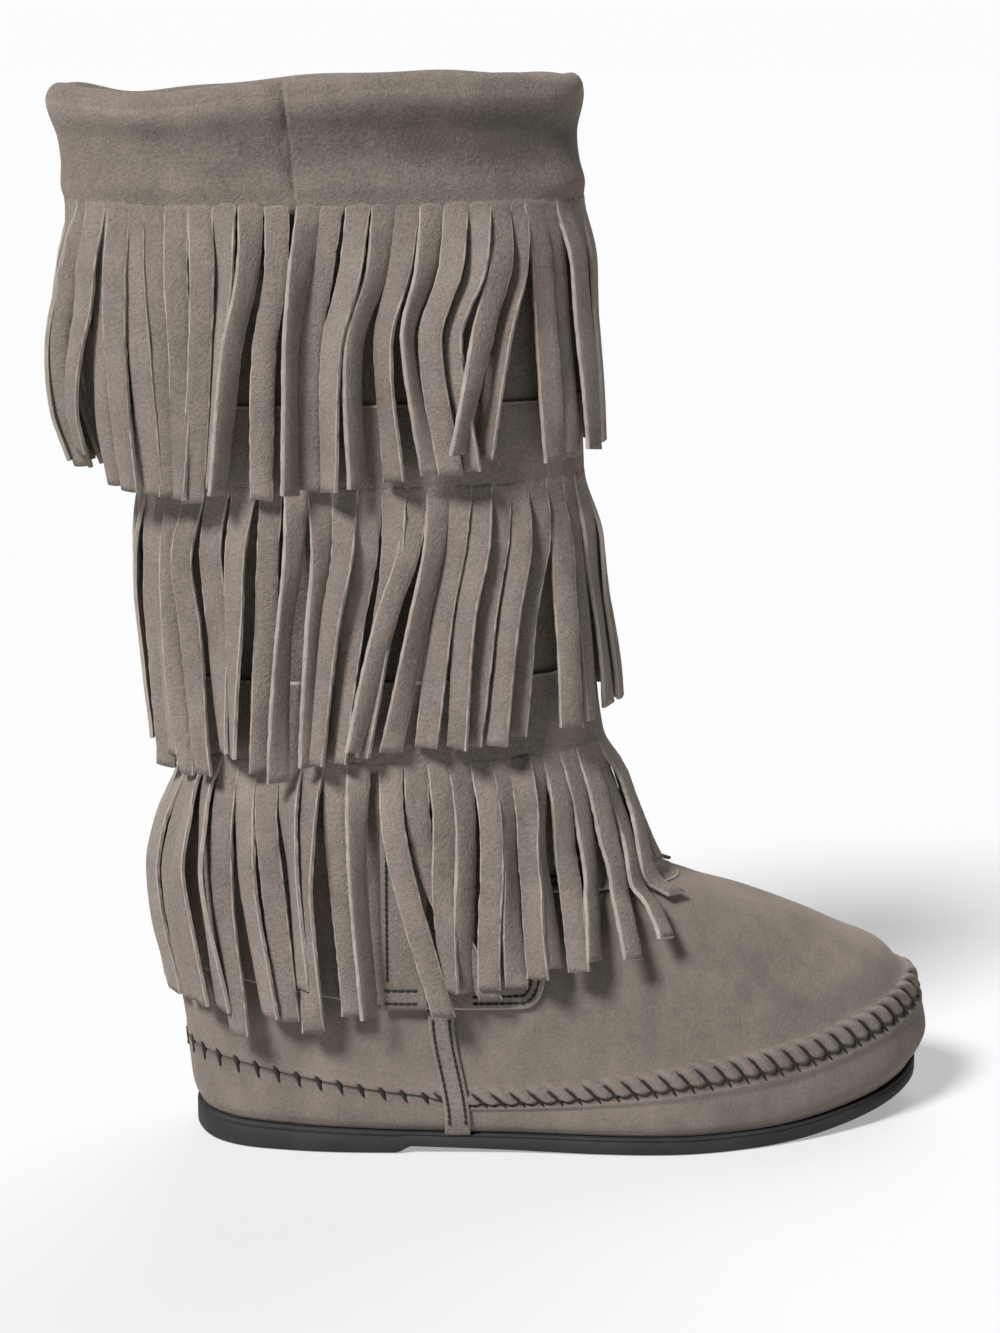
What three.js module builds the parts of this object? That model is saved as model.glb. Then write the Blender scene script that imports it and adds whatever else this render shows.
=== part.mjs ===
// A calf-high suede moccasin boot for the right foot, with a folded cuff and three rows of fringe.
// Millimetres. +X points to the toe, +Y to the inner side of the foot and +Z up.
// The origin lies on the floor, under the middle of the heel.
import * as THREE from "three";

// Sole
const FOOT_LENGTH = 254;
const BALL_WIDTH = 88;
const HEEL_SETBACK = 36; // from the back of the sole to the origin
const HEEL_THICKNESS = 10;
const FOREFOOT_THICKNESS = 6.2;
const HEEL_STEP = 2.4; // how far the waist stands off the floor in front of the heel
const TOE_SPRING = 10;
const TOE_SWING = 9; // how far the toe tip lies to the inner side
const SOLE_LIP = 0.9; // how far the sole stands out past the upper's lower edge
const SOLE_BEVEL = 1.3; // round the sole's lower edge

// Upper
const FOOT_HEIGHT = 100; // from the top of the sole to the ankle
const SHAFT_LENGTH = 242; // from the ankle to the top of the cuff
const COLLAR_LENGTH = 160; // front to back
const COLLAR_WIDTH = 55; // side to side
const COLLAR_OVERHANG = 29; // how far the collar lies behind the ankle
const COLLAR_RISE = 6; // how much higher the collar is in front
const FOOT_WALL = 1.9;
const SHAFT_WALL = 1.7;
const SEAM_RIDGE = 1.1; // the puckered seam stands this proud of the foot
const LAP = 9; // how far the foot reaches up inside the shaft
const LAP_HEIGHT = 49; // from the sole up to the shaft's lower edge at the back and sides
const LAP_CLIMB = 33; // how much higher that edge runs in front
const INSOLE_THICKNESS = 3;

// Straps that cover the joins
const STRAP_THICKNESS = 1.2;
const STRAP_WIDTH = 8.5; // from the shaft down to the sole
const STRAP_TOP_X = 47;
const STRAP_FOOT_X = 52.5;
const SIDE_STRIP_WIDTH = 15; // up the side of the shaft
const SIDE_STRIP_X = 35;
const SIDE_STRIP_TUCK = 30; // how far below the lowest band it ends, behind the strips

// Cuff and fringe
const CUFF_HEIGHT = 36; // of the fold, above the first slits
const CUFF_THICKNESS = 1.6;
const CUFF_PUFF = 0.9; // how far the fold stands off the shaft
const CUFF_ROLL = 8; // the height over which the fold rounds over
const CUFF_HEM = 15; // the part turned in behind the shaft's edge
const FOLD_ROOM = 1.2; // between the shaft's edge and the top of the fold
const BAND_HEIGHT = 27; // the uncut part of a lower row
const BAND_THICKNESS = 1.4;
const ROW_SPACING = 90; // from one row of slits to the next
const FRINGE_LENGTH = 92;
const SIDE_STRIPS = 24; // strips of a row on one side, from the middle of the back to the front
const STRIP_LIFT = 1.9; // every other strip hangs this much further out
const STRIP_GAP = 0.5; // between the strips of a row
const CUFF_STRIP_CLEAR = 2; // how far a row's strips stand off its own band's back
const MIDDLE_STRIP_CLEAR = 2.5;
const LOWER_STRIP_CLEAR = 2.2;
const GAP = 0.3; // between pieces that touch

// Shares and facets
const STRIP_STEPS = [0.22, 0.6, 1]; // where a strip's facets end along its length
const WIDEST_TURN = 0.17; // radians that one facet across a strip may turn
const LAP_CORNER = [0.51, 0.72]; // the part of the foot's length over which the shaft's edge climbs
const SHAFT_SWING = 0.55; // the share of the toe's swing that the shaft keeps
const CORNER_BLEND = 0.5; // how the shaft's ends round into its sides
const PLUMB_FROM = 0.12; // nearer the back or front than this, strips follow the boot's own line

// Rows of numbers with named columns
function table(columns, rows) {
  return rows.map((row) => Object.fromEntries(columns.map((column, i) => [column, row[i]])));
}

// Each row is a closed ring round the boot, from the sole's edge up to the ankle. back and front are
// shares of FOOT_LENGTH. The rises are shares of FOOT_HEIGHT above the sole at four places along.
// The rest say how full the ring is from heel to toe, as shares of BALL_WIDTH.
const RISES = { riseBack: 0, riseWaist: 0.36, riseBall: 0.72, riseFront: 1 };
const FULLNESS = { tail: 0, heel: 0.12, waist: 0.4, ball: 0.66, toe: 0.88, tip: 1 };
const FOOT_SECTIONS = table(
  ["back", "front", ...Object.keys(RISES), ...Object.keys(FULLNESS)],
  [
    [0.006, 0.996, 0, 0, 0, 0, 0.655, 0.505, 0.39, 0.515, 0.565, 0.64],
    [-0.003, 1.014, 0.08, 0.05, 0.07, 0.1, 0.66, 0.53, 0.41, 0.53, 0.59, 0.66],
    [-0.008, 0.994, 0.235, 0.128, 0.235, 0.29, 0.66, 0.533, 0.412, 0.525, 0.585, 0.65],
    [-0.011, 0.976, 0.3, 0.19, 0.29, 0.345, 0.65, 0.53, 0.41, 0.52, 0.57, 0.64],
    [-0.016, 0.945, 0.39, 0.275, 0.375, 0.445, 0.63, 0.52, 0.405, 0.51, 0.565, 0.62],
    [-0.023, 0.898, 0.5, 0.39, 0.46, 0.525, 0.6, 0.5, 0.4, 0.485, 0.535, 0.59],
    [-0.033, 0.835, 0.62, 0.53, 0.57, 0.627, 0.565, 0.48, 0.394, 0.455, 0.49, 0.55],
    [-0.037, 0.768, 0.745, 0.69, 0.68, 0.71, 0.53, 0.455, 0.388, 0.425, 0.45, 0.5],
    [-0.035, 0.693, 0.87, 0.855, 0.79, 0.773, 0.5, 0.435, 0.385, 0.4, 0.41, 0.45],
    [-0.02, 0.606, 1, 1.02, 0.93, 0.885, 0.48, 0.425, 0.385, 0.38, 0.375, 0.4],
  ],
);

// The rings of the shaft. rise is a share of SHAFT_LENGTH. back and front say how far the ring has
// moved from the ankle's place to the collar's. The rest are shares of COLLAR_WIDTH.
const SHAFT_SECTIONS = table(
  ["rise", "back", "front", "tail", "side", "tip"],
  [
    [0.083, -0.24, 0.54, 0.64, 0.6, 0.62],
    [0.207, -0.17, 0.72, 0.62, 0.575, 0.61],
    [0.33, 0, 0.82, 0.61, 0.55, 0.6],
    [0.463, 0.17, 0.86, 0.6, 0.53, 0.6],
    [0.58, 0.48, 0.9, 0.6, 0.52, 0.6],
    [0.68, 0.69, 0.92, 0.6, 0.515, 0.6],
    [0.785, 0.76, 0.92, 0.6, 0.51, 0.6],
    [0.91, 0.9, 0.96, 0.6, 0.505, 0.6],
    [1, 1, 1, 0.6, 0.5, 0.6],
  ],
);

// The last bends a little: shares of FOOT_LENGTH along it, and of TOE_SWING towards the inner side.
const SWING = table(
  ["along", "inward"],
  [
    [0, 0],
    [0.15, 0],
    [0.4, -0.3],
    [0.62, -0.1],
    [0.8, 0.32],
    [1, 1],
  ],
);

// The sole from heel to toe: along is a share of FOOT_LENGTH, step of HEEL_STEP and spring of
// TOE_SPRING.
const SOLE_PROFILE = table(
  ["along", "step", "spring"],
  [
    [0, 0.35, 0],
    [0.008, 0.12, 0],
    [0.025, 0, 0],
    [0.07, 0, 0],
    [0.14, 0, 0],
    [0.21, 0, 0],
    [0.27, 0, 0],
    [0.285, 1, 0],
    [0.34, 0.75, 0],
    [0.4, 0.42, 0],
    [0.46, 0.15, 0],
    [0.52, 0, 0],
    [0.6, 0, 0],
    [0.68, 0, 0],
    [0.75, 0, 0],
    [0.81, 0, 0.07],
    [0.87, 0, 0.26],
    [0.92, 0, 0.48],
    [0.96, 0, 0.71],
    [0.985, 0, 0.88],
    [1, 0, 1],
  ],
);
const SOLE_TAPER = [-0.08, 0.55]; // where the sole's top slopes from the heel's height to the forefoot's

// How the strips of a row hang, by their place round the boot: 0 is the middle of the back, 0.5 the
// middle of the front, and the outer side comes first. middle and end are sideways drifts of a
// strip, as shares of FRINGE_LENGTH, positive towards the toe. flare is how far the ends stand off
// and cut is how much longer the strip is, both as shares of the same length.
const LAY_COLUMNS = ["round", "middle", "end", "flare", "cut"];
const UPPER_LAY = table(LAY_COLUMNS, [
  [0, 0, 0, 0.17, -0.03],
  [0.05, 0.03, 0.05, 0.12, -0.02],
  [0.12, 0.08, 0.13, 0.02, 0],
  [0.2, 0, 0.02, 0, 0.02],
  [0.3, -0.13, -0.09, 0.01, 0],
  [0.38, -0.14, -0.08, 0.02, -0.03],
  [0.44, 0, 0.02, 0, -0.06],
  [0.5, 0, 0, 0.02, -0.08],
  [0.62, 0.05, 0.02, 0.01, -0.03],
  [0.75, -0.03, 0.03, 0, 0.01],
  [0.9, 0.03, 0.03, 0.08, 0],
  [1, 0, 0, 0.17, -0.03],
]);
const MIDDLE_LAY = table(LAY_COLUMNS, [
  [0, 0, 0, 0.08, -0.02],
  [0.08, 0.06, 0.12, 0.03, 0],
  [0.18, 0.03, 0.06, 0.01, 0.03],
  [0.26, -0.06, -0.08, 0, 0.01],
  [0.34, -0.1, -0.16, 0.01, 0],
  [0.42, -0.06, -0.1, 0, -0.04],
  [0.5, 0, 0, 0.04, -0.08],
  [0.62, 0.04, 0.06, 0.02, -0.02],
  [0.76, -0.02, 0, 0, 0.02],
  [0.9, -0.02, 0.02, 0.03, 0],
  [1, 0, 0, 0.08, -0.02],
]);
const LOWER_LAY = table(LAY_COLUMNS, [
  [0, 0, 0, 0, -0.02],
  [0.1, 0.02, 0.06, 0, 0],
  [0.2, 0, 0.02, 0.01, 0.02],
  [0.28, 0.05, 0.12, 0.01, 0],
  [0.35, 0.04, 0.1, 0.01, -0.08],
  [0.41, 0.04, 0.08, 0.01, -0.26],
  [0.46, 0, 0, 0, -0.44],
  [0.5, 0, 0, 0, -0.52],
  [0.54, 0, 0, 0, -0.44],
  [0.6, 0.03, 0.06, 0.01, -0.24],
  [0.68, 0.03, 0.08, 0.01, -0.04],
  [0.85, 0, 0.03, 0.01, 0.02],
  [1, 0, 0, 0, -0.02],
]);

const mix = (a, b, t) => a + (b - a) * t;
const clamp = (x, low, high) => Math.min(high, Math.max(low, x));
function smooth(low, high, x) {
  const t = clamp((x - low) / (high - low), 0, 1);
  return t * t * (3 - 2 * t);
}

// A smooth curve through a table's column, by the place of x in another column.
function read(rows, key, column, x) {
  const last = rows.length - 1;
  let i = 0;
  while (i < last - 1 && x > rows[i + 1][key]) i += 1;
  const at = (n) => rows[clamp(n, 0, last)];
  const x0 = at(i)[key];
  const x1 = at(i + 1)[key];
  const t = clamp((x - x0) / (x1 - x0), 0, 1);
  const rise = (n) => {
    const before = at(n - 1);
    const after = at(n + 1);
    return (after[column] - before[column]) / (after[key] - before[key]);
  };
  const y0 = at(i)[column];
  const y1 = at(i + 1)[column];
  const m0 = rise(i) * (x1 - x0);
  const m1 = rise(i + 1) * (x1 - x0);
  const s = t * t;
  const c = s * t;
  return (2 * c - 3 * s + 1) * y0 + (c - 2 * s + t) * m0 + (3 * s - 2 * c) * y1 + (c - s) * m1;
}

// The same with straight lines, for an outline that has real corners.
function readStraight(rows, key, column, x) {
  const last = rows.length - 1;
  let i = 0;
  while (i < last - 1 && x > rows[i + 1][key]) i += 1;
  const t = clamp((x - rows[i][key]) / (rows[i + 1][key] - rows[i][key]), 0, 1);
  return mix(rows[i][column], rows[i + 1][column], t);
}

const alongOf = (x) => clamp((x + HEEL_SETBACK) / FOOT_LENGTH, 0, 1);
const swingAt = (x) => TOE_SWING * read(SWING, "along", "inward", alongOf(x));

function soleBottom(x) {
  const along = alongOf(x);
  const step = readStraight(SOLE_PROFILE, "along", "step", along);
  return HEEL_STEP * step + TOE_SPRING * readStraight(SOLE_PROFILE, "along", "spring", along);
}

// The top runs on smoothly where the underside steps down at the heel.
function soleTop(x) {
  const along = alongOf(x);
  const heelToBall = 1 - smooth(...SOLE_TAPER, along);
  const spring = read(SOLE_PROFILE, "along", "spring", along);
  return mix(FOREFOOT_THICKNESS, HEEL_THICKNESS, heelToBall) + TOE_SPRING * spring;
}

// Finds where something first stops being below, between two limits.
function firstAbove(low, high, isBelow) {
  let from = low;
  let to = high;
  for (let n = 0; n < 40; n += 1) {
    const middle = (from + to) / 2;
    if (isBelow(middle)) from = middle;
    else to = middle;
  }
  return from;
}

// All rings of the boot in millimetres, from the sole's edge up to the collar.
const ANKLE_TOP = HEEL_THICKNESS + FOOT_HEIGHT;
const COLLAR_TOP = ANKLE_TOP + SHAFT_LENGTH;
function sized(section, places, size) {
  return Object.entries(places).map(([name, along]) => ({ along, size: section[name] * size }));
}
function footRing(section, level) {
  return {
    level,
    back: section.back * FOOT_LENGTH - HEEL_SETBACK,
    front: section.front * FOOT_LENGTH - HEEL_SETBACK,
    onSole: 1,
    rises: sized(section, RISES, FOOT_HEIGHT),
    fullness: sized(section, FULLNESS, BALL_WIDTH),
  };
}
function shaftRing(section, level, ankle) {
  const collarBack = ankle.back - COLLAR_OVERHANG;
  const full = {
    ...section,
    heel: mix(section.tail, section.side, CORNER_BLEND),
    waist: section.side,
    ball: section.side,
    toe: mix(section.tip, section.side, CORNER_BLEND),
  };
  const riseAt = (along) => ANKLE_TOP + section.rise * (SHAFT_LENGTH + COLLAR_RISE * (along - 0.5));
  return {
    level,
    back: mix(ankle.back, collarBack, section.back),
    front: mix(ankle.front, collarBack + COLLAR_LENGTH, section.front),
    onSole: 0,
    rises: Object.values(RISES).map((along) => ({ along, size: riseAt(along) })),
    fullness: sized(full, FULLNESS, COLLAR_WIDTH),
  };
}
const FOOT_RINGS = FOOT_SECTIONS.map(footRing);
const ANKLE_RING = FOOT_RINGS.at(-1);
const FIRST_SHAFT_LEVEL = FOOT_RINGS.length;
const RINGS = [
  ...FOOT_RINGS,
  ...SHAFT_SECTIONS.map((section, n) => shaftRing(section, FIRST_SHAFT_LEVEL + n, ANKLE_RING)),
];
const COLLAR_LEVEL = RINGS.length - 1;

// A ring between the listed ones. Each of its sizes follows a smooth curve from ring to ring.
const ringCache = new Map();
function ringAt(level) {
  const known = ringCache.get(level);
  if (known) return known;
  const blend = (sizeOf) => {
    const sizes = RINGS.map((ring) => ({ level: ring.level, size: sizeOf(ring) }));
    return read(sizes, "level", "size", level);
  };
  const blendList = (name) =>
    RINGS[0][name].map(({ along }, k) => ({ along, size: blend((ring) => ring[name][k].size) }));
  const ring = {
    back: blend(({ back }) => back),
    front: blend(({ front }) => front),
    onSole: blend(({ onSole }) => onSole),
    rises: blendList("rises"),
    fullness: blendList("fullness"),
  };
  ringCache.set(level, ring);
  return ring;
}

// A point of the boot's form. turn goes from 0 at the middle of the back to pi at the middle of the
// front along one side, which is -1 for the outer side and 1 for the inner side.
function formPoint(level, turn, side) {
  const ring = ringAt(level);
  const along = (1 - Math.cos(turn)) / 2;
  const x = mix(ring.back, ring.front, along);
  const half = Math.sin(turn) * read(ring.fullness, "along", "size", along);
  const rise = read(ring.rises, "along", "size", along);
  const y = swingAt(x) * mix(SHAFT_SWING, 1, ring.onSole) + side * half;
  return new THREE.Vector3(x, y, rise + ring.onSole * (soleTop(x) + GAP));
}

// The same point moved out of the surface by a distance.
const LEVEL_STEP = 0.05;
const TURN_STEP = 0.02;
function skinPoint(level, turn, side, out) {
  const beyond = (angle) => {
    if (angle < 0) return formPoint(level, -angle, -side);
    if (angle > Math.PI) return formPoint(level, 2 * Math.PI - angle, -side);
    return formPoint(level, angle, side);
  };
  const across = beyond(turn + TURN_STEP).sub(beyond(turn - TURN_STEP));
  const above = formPoint(Math.min(level + LEVEL_STEP, COLLAR_LEVEL), turn, side);
  const below = formPoint(Math.max(level - LEVEL_STEP, 0), turn, side);
  const normal = across.cross(above.sub(below)).normalize().multiplyScalar(-side);
  return formPoint(level, turn, side).addScaledVector(normal, out);
}

// The level at which the form reaches a height over the floor, at one turn round it.
function levelAtHeight(z, turn = Math.PI / 2) {
  return firstAbove(0, COLLAR_LEVEL, (level) => formPoint(level, turn, -1).z < z);
}

// Turns that divide one side of a ring into equal steps, from the back to the front.
function equalTurns(level, side, count) {
  const fine = 400;
  const turnAt = (i) => (Math.PI * i) / fine;
  const lengths = [0];
  for (let i = 1; i <= fine; i += 1) {
    const step = formPoint(level, turnAt(i), side).distanceTo(formPoint(level, turnAt(i - 1), side));
    lengths.push(lengths[i - 1] + step);
  }
  const turns = [];
  for (let n = 0; n <= count; n += 1) {
    const want = (lengths[fine] * n) / count;
    let i = 0;
    while (i < fine - 1 && lengths[i + 1] < want) i += 1;
    const share = (want - lengths[i]) / (lengths[i + 1] - lengths[i]);
    turns.push(mix(turnAt(i), turnAt(i + 1), share));
  }
  return turns;
}

const SLITS_TOP = COLLAR_TOP - CUFF_HEIGHT;
const MIDDLE_SLITS = SLITS_TOP - ROW_SPACING;
const LOWER_SLITS = MIDDLE_SLITS - ROW_SPACING;

// Every piece has the same columns, so that pieces lie evenly on each other. They go once round,
// the outer side first, and divide the boot into equal strips at the cuff's slits. A strip round a
// tight bend is divided again.
function makeColumns() {
  const level = levelAtHeight(SLITS_TOP);
  const columns = [];
  const strips = [];
  for (const side of [-1, 1]) {
    const turns = equalTurns(level, side, SIDE_STRIPS);
    if (side > 0) turns.reverse();
    for (let n = 0; n < SIDE_STRIPS; n += 1) {
      const parts = Math.ceil(Math.abs(turns[n + 1] - turns[n]) / WIDEST_TURN);
      strips.push({ first: columns.length, parts, turn: mix(turns[n], turns[n + 1], 0.5), side });
      for (let k = 0; k < parts; k += 1) {
        columns.push({ turn: mix(turns[n], turns[n + 1], k / parts), side });
      }
    }
  }
  return { columns, strips };
}
const { columns: COLUMNS, strips: STRIP_PLACES } = makeColumns();

function meshFrom(points, triangles) {
  const geometry = new THREE.BufferGeometry();
  const flat = points.flatMap((p) => [p.x, p.y, p.z]);
  geometry.setAttribute("position", new THREE.Float32BufferAttribute(flat, 3));
  geometry.setIndex(triangles);
  geometry.computeVertexNormals();
  return geometry;
}

// A hollow shell, open at both ends. Both skins have the same rows, from the lowest up, and split
// their facets the same way, so that a neighbour's skin keeps an even distance.
function shell(outer, inner) {
  const count = outer[0].length;
  const start = outer.length * count;
  const top = start - count;
  const triangles = [];
  const quad = (a, b, c, d) => triangles.push(a, b, c, a, c, d);
  for (let j = 0; j < count; j += 1) {
    const k = (j + 1) % count;
    for (let low = 0; low < top; low += count) {
      const high = low + count;
      quad(low + j, low + k, high + k, high + j);
      quad(start + low + j, start + high + j, start + high + k, start + low + k);
    }
    quad(j, start + j, start + k, k);
    quad(top + j, top + k, start + top + k, start + top + j);
  }
  return meshFrom([...outer.flat(), ...inner.flat()], triangles);
}

// A solid through closed loops of equally many points, from the lowest up, filled at both ends.
function loft(loops) {
  const count = loops[0].length;
  const triangles = [];
  for (let i = 0; i < loops.length - 1; i += 1) {
    const a = i * count;
    const b = a + count;
    for (let j = 0; j < count; j += 1) {
      const k = (j + 1) % count;
      triangles.push(a + j, a + k, b + k, a + j, b + k, b + j);
    }
  }
  fillLoop(triangles, 0, count, true);
  fillLoop(triangles, (loops.length - 1) * count, count, false);
  return meshFrom(loops.flat(), triangles);
}

// Fills a loop whose first point is at one end and whose middle point is at the other.
function fillLoop(triangles, start, count, facesDown) {
  const half = count / 2;
  for (let j = 0; j < half; j += 1) {
    const a = start + j;
    const b = start + j + 1;
    const c = start + ((count - j - 1) % count);
    const d = start + ((count - j) % count);
    const quad = j === half - 1 ? [[a, b, d]] : [[a, b, c], [a, c, d]];
    for (const face of quad) {
      if (new Set(face).size < 3) continue;
      triangles.push(...(facesDown ? [face[0], face[2], face[1]] : face));
    }
  }
}

// The outsole, with its heel in one piece
function soleLoop(inset, height) {
  const feather = ringAt(0);
  const turns = SOLE_PROFILE.map((row) => Math.acos(clamp(1 - 2 * row.along, -1, 1)));
  const places = [
    ...turns.map((turn) => ({ turn, side: -1 })),
    ...turns.slice(1, -1).reverse().map((turn) => ({ turn, side: 1 })),
  ];
  const middle = (feather.back + feather.front) / 2;
  const reach = (feather.front - feather.back) / 2;
  return places.map(({ turn, side }) => {
    const edge = formPoint(0, turn, side);
    const grow = SOLE_LIP - inset;
    const x = middle + (edge.x - middle) * ((reach + grow) / reach);
    const y = edge.y + side * Math.sin(turn) * grow;
    return new THREE.Vector3(x, y, height(edge.x));
  });
}
function outsole() {
  return loft([
    soleLoop(SOLE_BEVEL, soleBottom),
    soleLoop(0, (x) => soleBottom(x) + SOLE_BEVEL),
    soleLoop(0, soleTop),
  ]);
}

function insole() {
  const inset = SOLE_LIP + FOOT_WALL + 3 * GAP;
  return loft([
    soleLoop(inset, (x) => soleTop(x) + GAP),
    soleLoop(inset, (x) => soleTop(x) + GAP + INSOLE_THICKNESS),
  ]);
}

// The edge of the shaft where it laps over the foot: low round the heel and sides, high in front.
const LEVEL_HEIGHT = FOOT_HEIGHT / ANKLE_RING.level;
function lapLevel(turn) {
  const along = (1 - Math.cos(turn)) / 2;
  return (LAP_HEIGHT + LAP_CLIMB * smooth(...LAP_CORNER, along)) / LEVEL_HEIGHT + 1;
}
const lapTop = (turn) => lapLevel(turn) + LAP / LEVEL_HEIGHT;

// The foot: wall, puckered seam, plug and quarters in one hollow shell, open below and above
const FOOT_ROWS = table(
  ["level", "ridge"],
  [
    [0, 0],
    [0.5, 0],
    [1.1, 0],
    [1.75, 0],
    [2, 1],
    [2.25, 0],
    [3, 0],
    [4, 0],
  ],
);
function footUpper() {
  const plain = (levelAt) => ({ levelAt, ridge: 0 });
  const rows = [
    ...FOOT_ROWS.map(({ level, ridge }) => ({ levelAt: () => level, ridge })),
    plain((turn) => mix(FOOT_ROWS.at(-1).level, lapLevel(turn), 0.5)),
    plain(lapLevel),
    plain(lapTop),
  ];
  const outer = rows.map(({ levelAt, ridge }) =>
    COLUMNS.map(({ turn, side }) => skinPoint(levelAt(turn), turn, side, SEAM_RIDGE * ridge)),
  );
  const inner = rows.map(({ levelAt }) =>
    COLUMNS.map(({ turn, side }) => skinPoint(levelAt(turn), turn, side, -FOOT_WALL)),
  );
  inner[0].forEach((point, i) => {
    point.z = outer[0][i].z;
  });
  return shell(outer, inner);
}

// The shaft, from the lap to the edge inside the cuff's fold
const SHAFT_IN = GAP;
const SHAFT_OUT = SHAFT_IN + SHAFT_WALL;
const SHAFT_TOP = COLLAR_TOP - CUFF_THICKNESS - FOLD_ROOM;
function shaftRows() {
  const rows = [lapLevel];
  for (const share of [0, 0.35, 0.7]) {
    rows.push((turn) => mix(lapTop(turn), FIRST_SHAFT_LEVEL, share));
  }
  const straight = [
    LOWER_SLITS,
    LOWER_SLITS + BAND_HEIGHT,
    mix(LOWER_SLITS + BAND_HEIGHT, MIDDLE_SLITS, 0.5),
    MIDDLE_SLITS,
    MIDDLE_SLITS + BAND_HEIGHT,
    SLITS_TOP,
    SHAFT_TOP - CUFF_ROLL,
    SHAFT_TOP,
  ];
  for (const height of straight) {
    const level = levelAtHeight(height);
    rows.push(() => level);
  }
  return rows;
}
function shaft() {
  const wall = (out) =>
    shaftRows().map((levelAt) =>
      COLUMNS.map(({ turn, side }) => skinPoint(levelAt(turn), turn, side, out)),
    );
  return shell(wall(SHAFT_OUT), wall(SHAFT_IN));
}

// Where a row of the form passes an x: its level there.
function levelOnRow(row, x) {
  return row(firstAbove(0, Math.PI, (turn) => formPoint(row(turn), turn, -1).x < x));
}

// A flat strap laid on the form, from one level to another, around a middle line
function strap(side, levels, middleX, width, from, to) {
  const cornerAt = (level, x, out) => {
    const ring = ringAt(level);
    const turn = Math.acos(1 - (2 * (x - ring.back)) / (ring.front - ring.back));
    return skinPoint(level, turn, side, out);
  };
  const loops = levels.map((level, n) => {
    const x = middleX(n / (levels.length - 1));
    const corners = [
      cornerAt(level, x - width / 2, from),
      cornerAt(level, x + width / 2, from),
      cornerAt(level, x + width / 2, to),
      cornerAt(level, x - width / 2, to),
    ];
    return side > 0 ? corners : corners.reverse();
  });
  return loft(loops);
}

function footStrap(side) {
  const top = levelOnRow(lapLevel, STRAP_TOP_X) - 2 * GAP / LEVEL_HEIGHT;
  const levels = [GAP / LEVEL_HEIGHT, ...FOOT_ROWS.map(({ level }) => level).slice(1), top];
  const from = GAP + SEAM_RIDGE;
  const middleX = (share) => mix(STRAP_FOOT_X, STRAP_TOP_X, share);
  return strap(side, levels, middleX, STRAP_WIDTH, from, from + STRAP_THICKNESS);
}

function sideStrip(side) {
  const top = levelAtHeight(LOWER_SLITS - SIDE_STRIP_TUCK);
  const levels = shaftRows().map((row) => levelOnRow(row, SIDE_STRIP_X));
  const covered = [...levels.filter((level) => level < top), top];
  const from = SHAFT_OUT + 2 * GAP;
  return strap(side, covered, () => SIDE_STRIP_X, SIDE_STRIP_WIDTH, from, from + STRAP_THICKNESS);
}

// A strip starts at a place round its band and hangs down, plumb at the sides and along the form's
// own line at the back and front. Each loop has as many points as the strip's top edge.
function strip({ slitLevel, endLevel, place, half, hang, lift, thickness, from }) {
  const startRing = ringAt(slitLevel);
  const startAlong = (1 - Math.cos(place.turn)) / 2;
  const startX = mix(startRing.back, startRing.front, startAlong);
  const fromEnd = Math.min(startAlong, 1 - startAlong);
  const ownLine = 1 - smooth(0, PLUMB_FROM, fromEnd);
  const loops = [];
  for (const t of STRIP_STEPS) {
    const level = mix(slitLevel, endLevel, t);
    const ring = ringAt(level);
    const span = ring.front - ring.back;
    const plumb = (startX - ring.back) / span;
    const towardToe = hang.middle * 4 * t * (1 - t) + hang.end * t * (2 * t - 1);
    const along = clamp(mix(plumb, startAlong, ownLine) + towardToe / span, 0, 1);
    const turn = Math.acos(1 - 2 * along);
    const out = from + lift + hang.flare * t * t;
    const middle = skinPoint(level, turn, place.side, out);
    const outward = skinPoint(level, turn, place.side, out + 1).sub(middle);
    const below = skinPoint(level - LEVEL_STEP, turn, place.side, out).sub(middle);
    const wide = below.cross(outward).normalize();
    const thick = outward.normalize().multiplyScalar(thickness);
    const inner = [];
    for (let k = 0; k <= place.parts; k += 1) {
      inner.push(middle.clone().addScaledVector(wide, half * (1 - (2 * k) / place.parts)));
    }
    loops.push([...inner, ...inner.map((p) => p.clone().add(thick)).reverse()]);
  }
  return loops;
}

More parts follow.
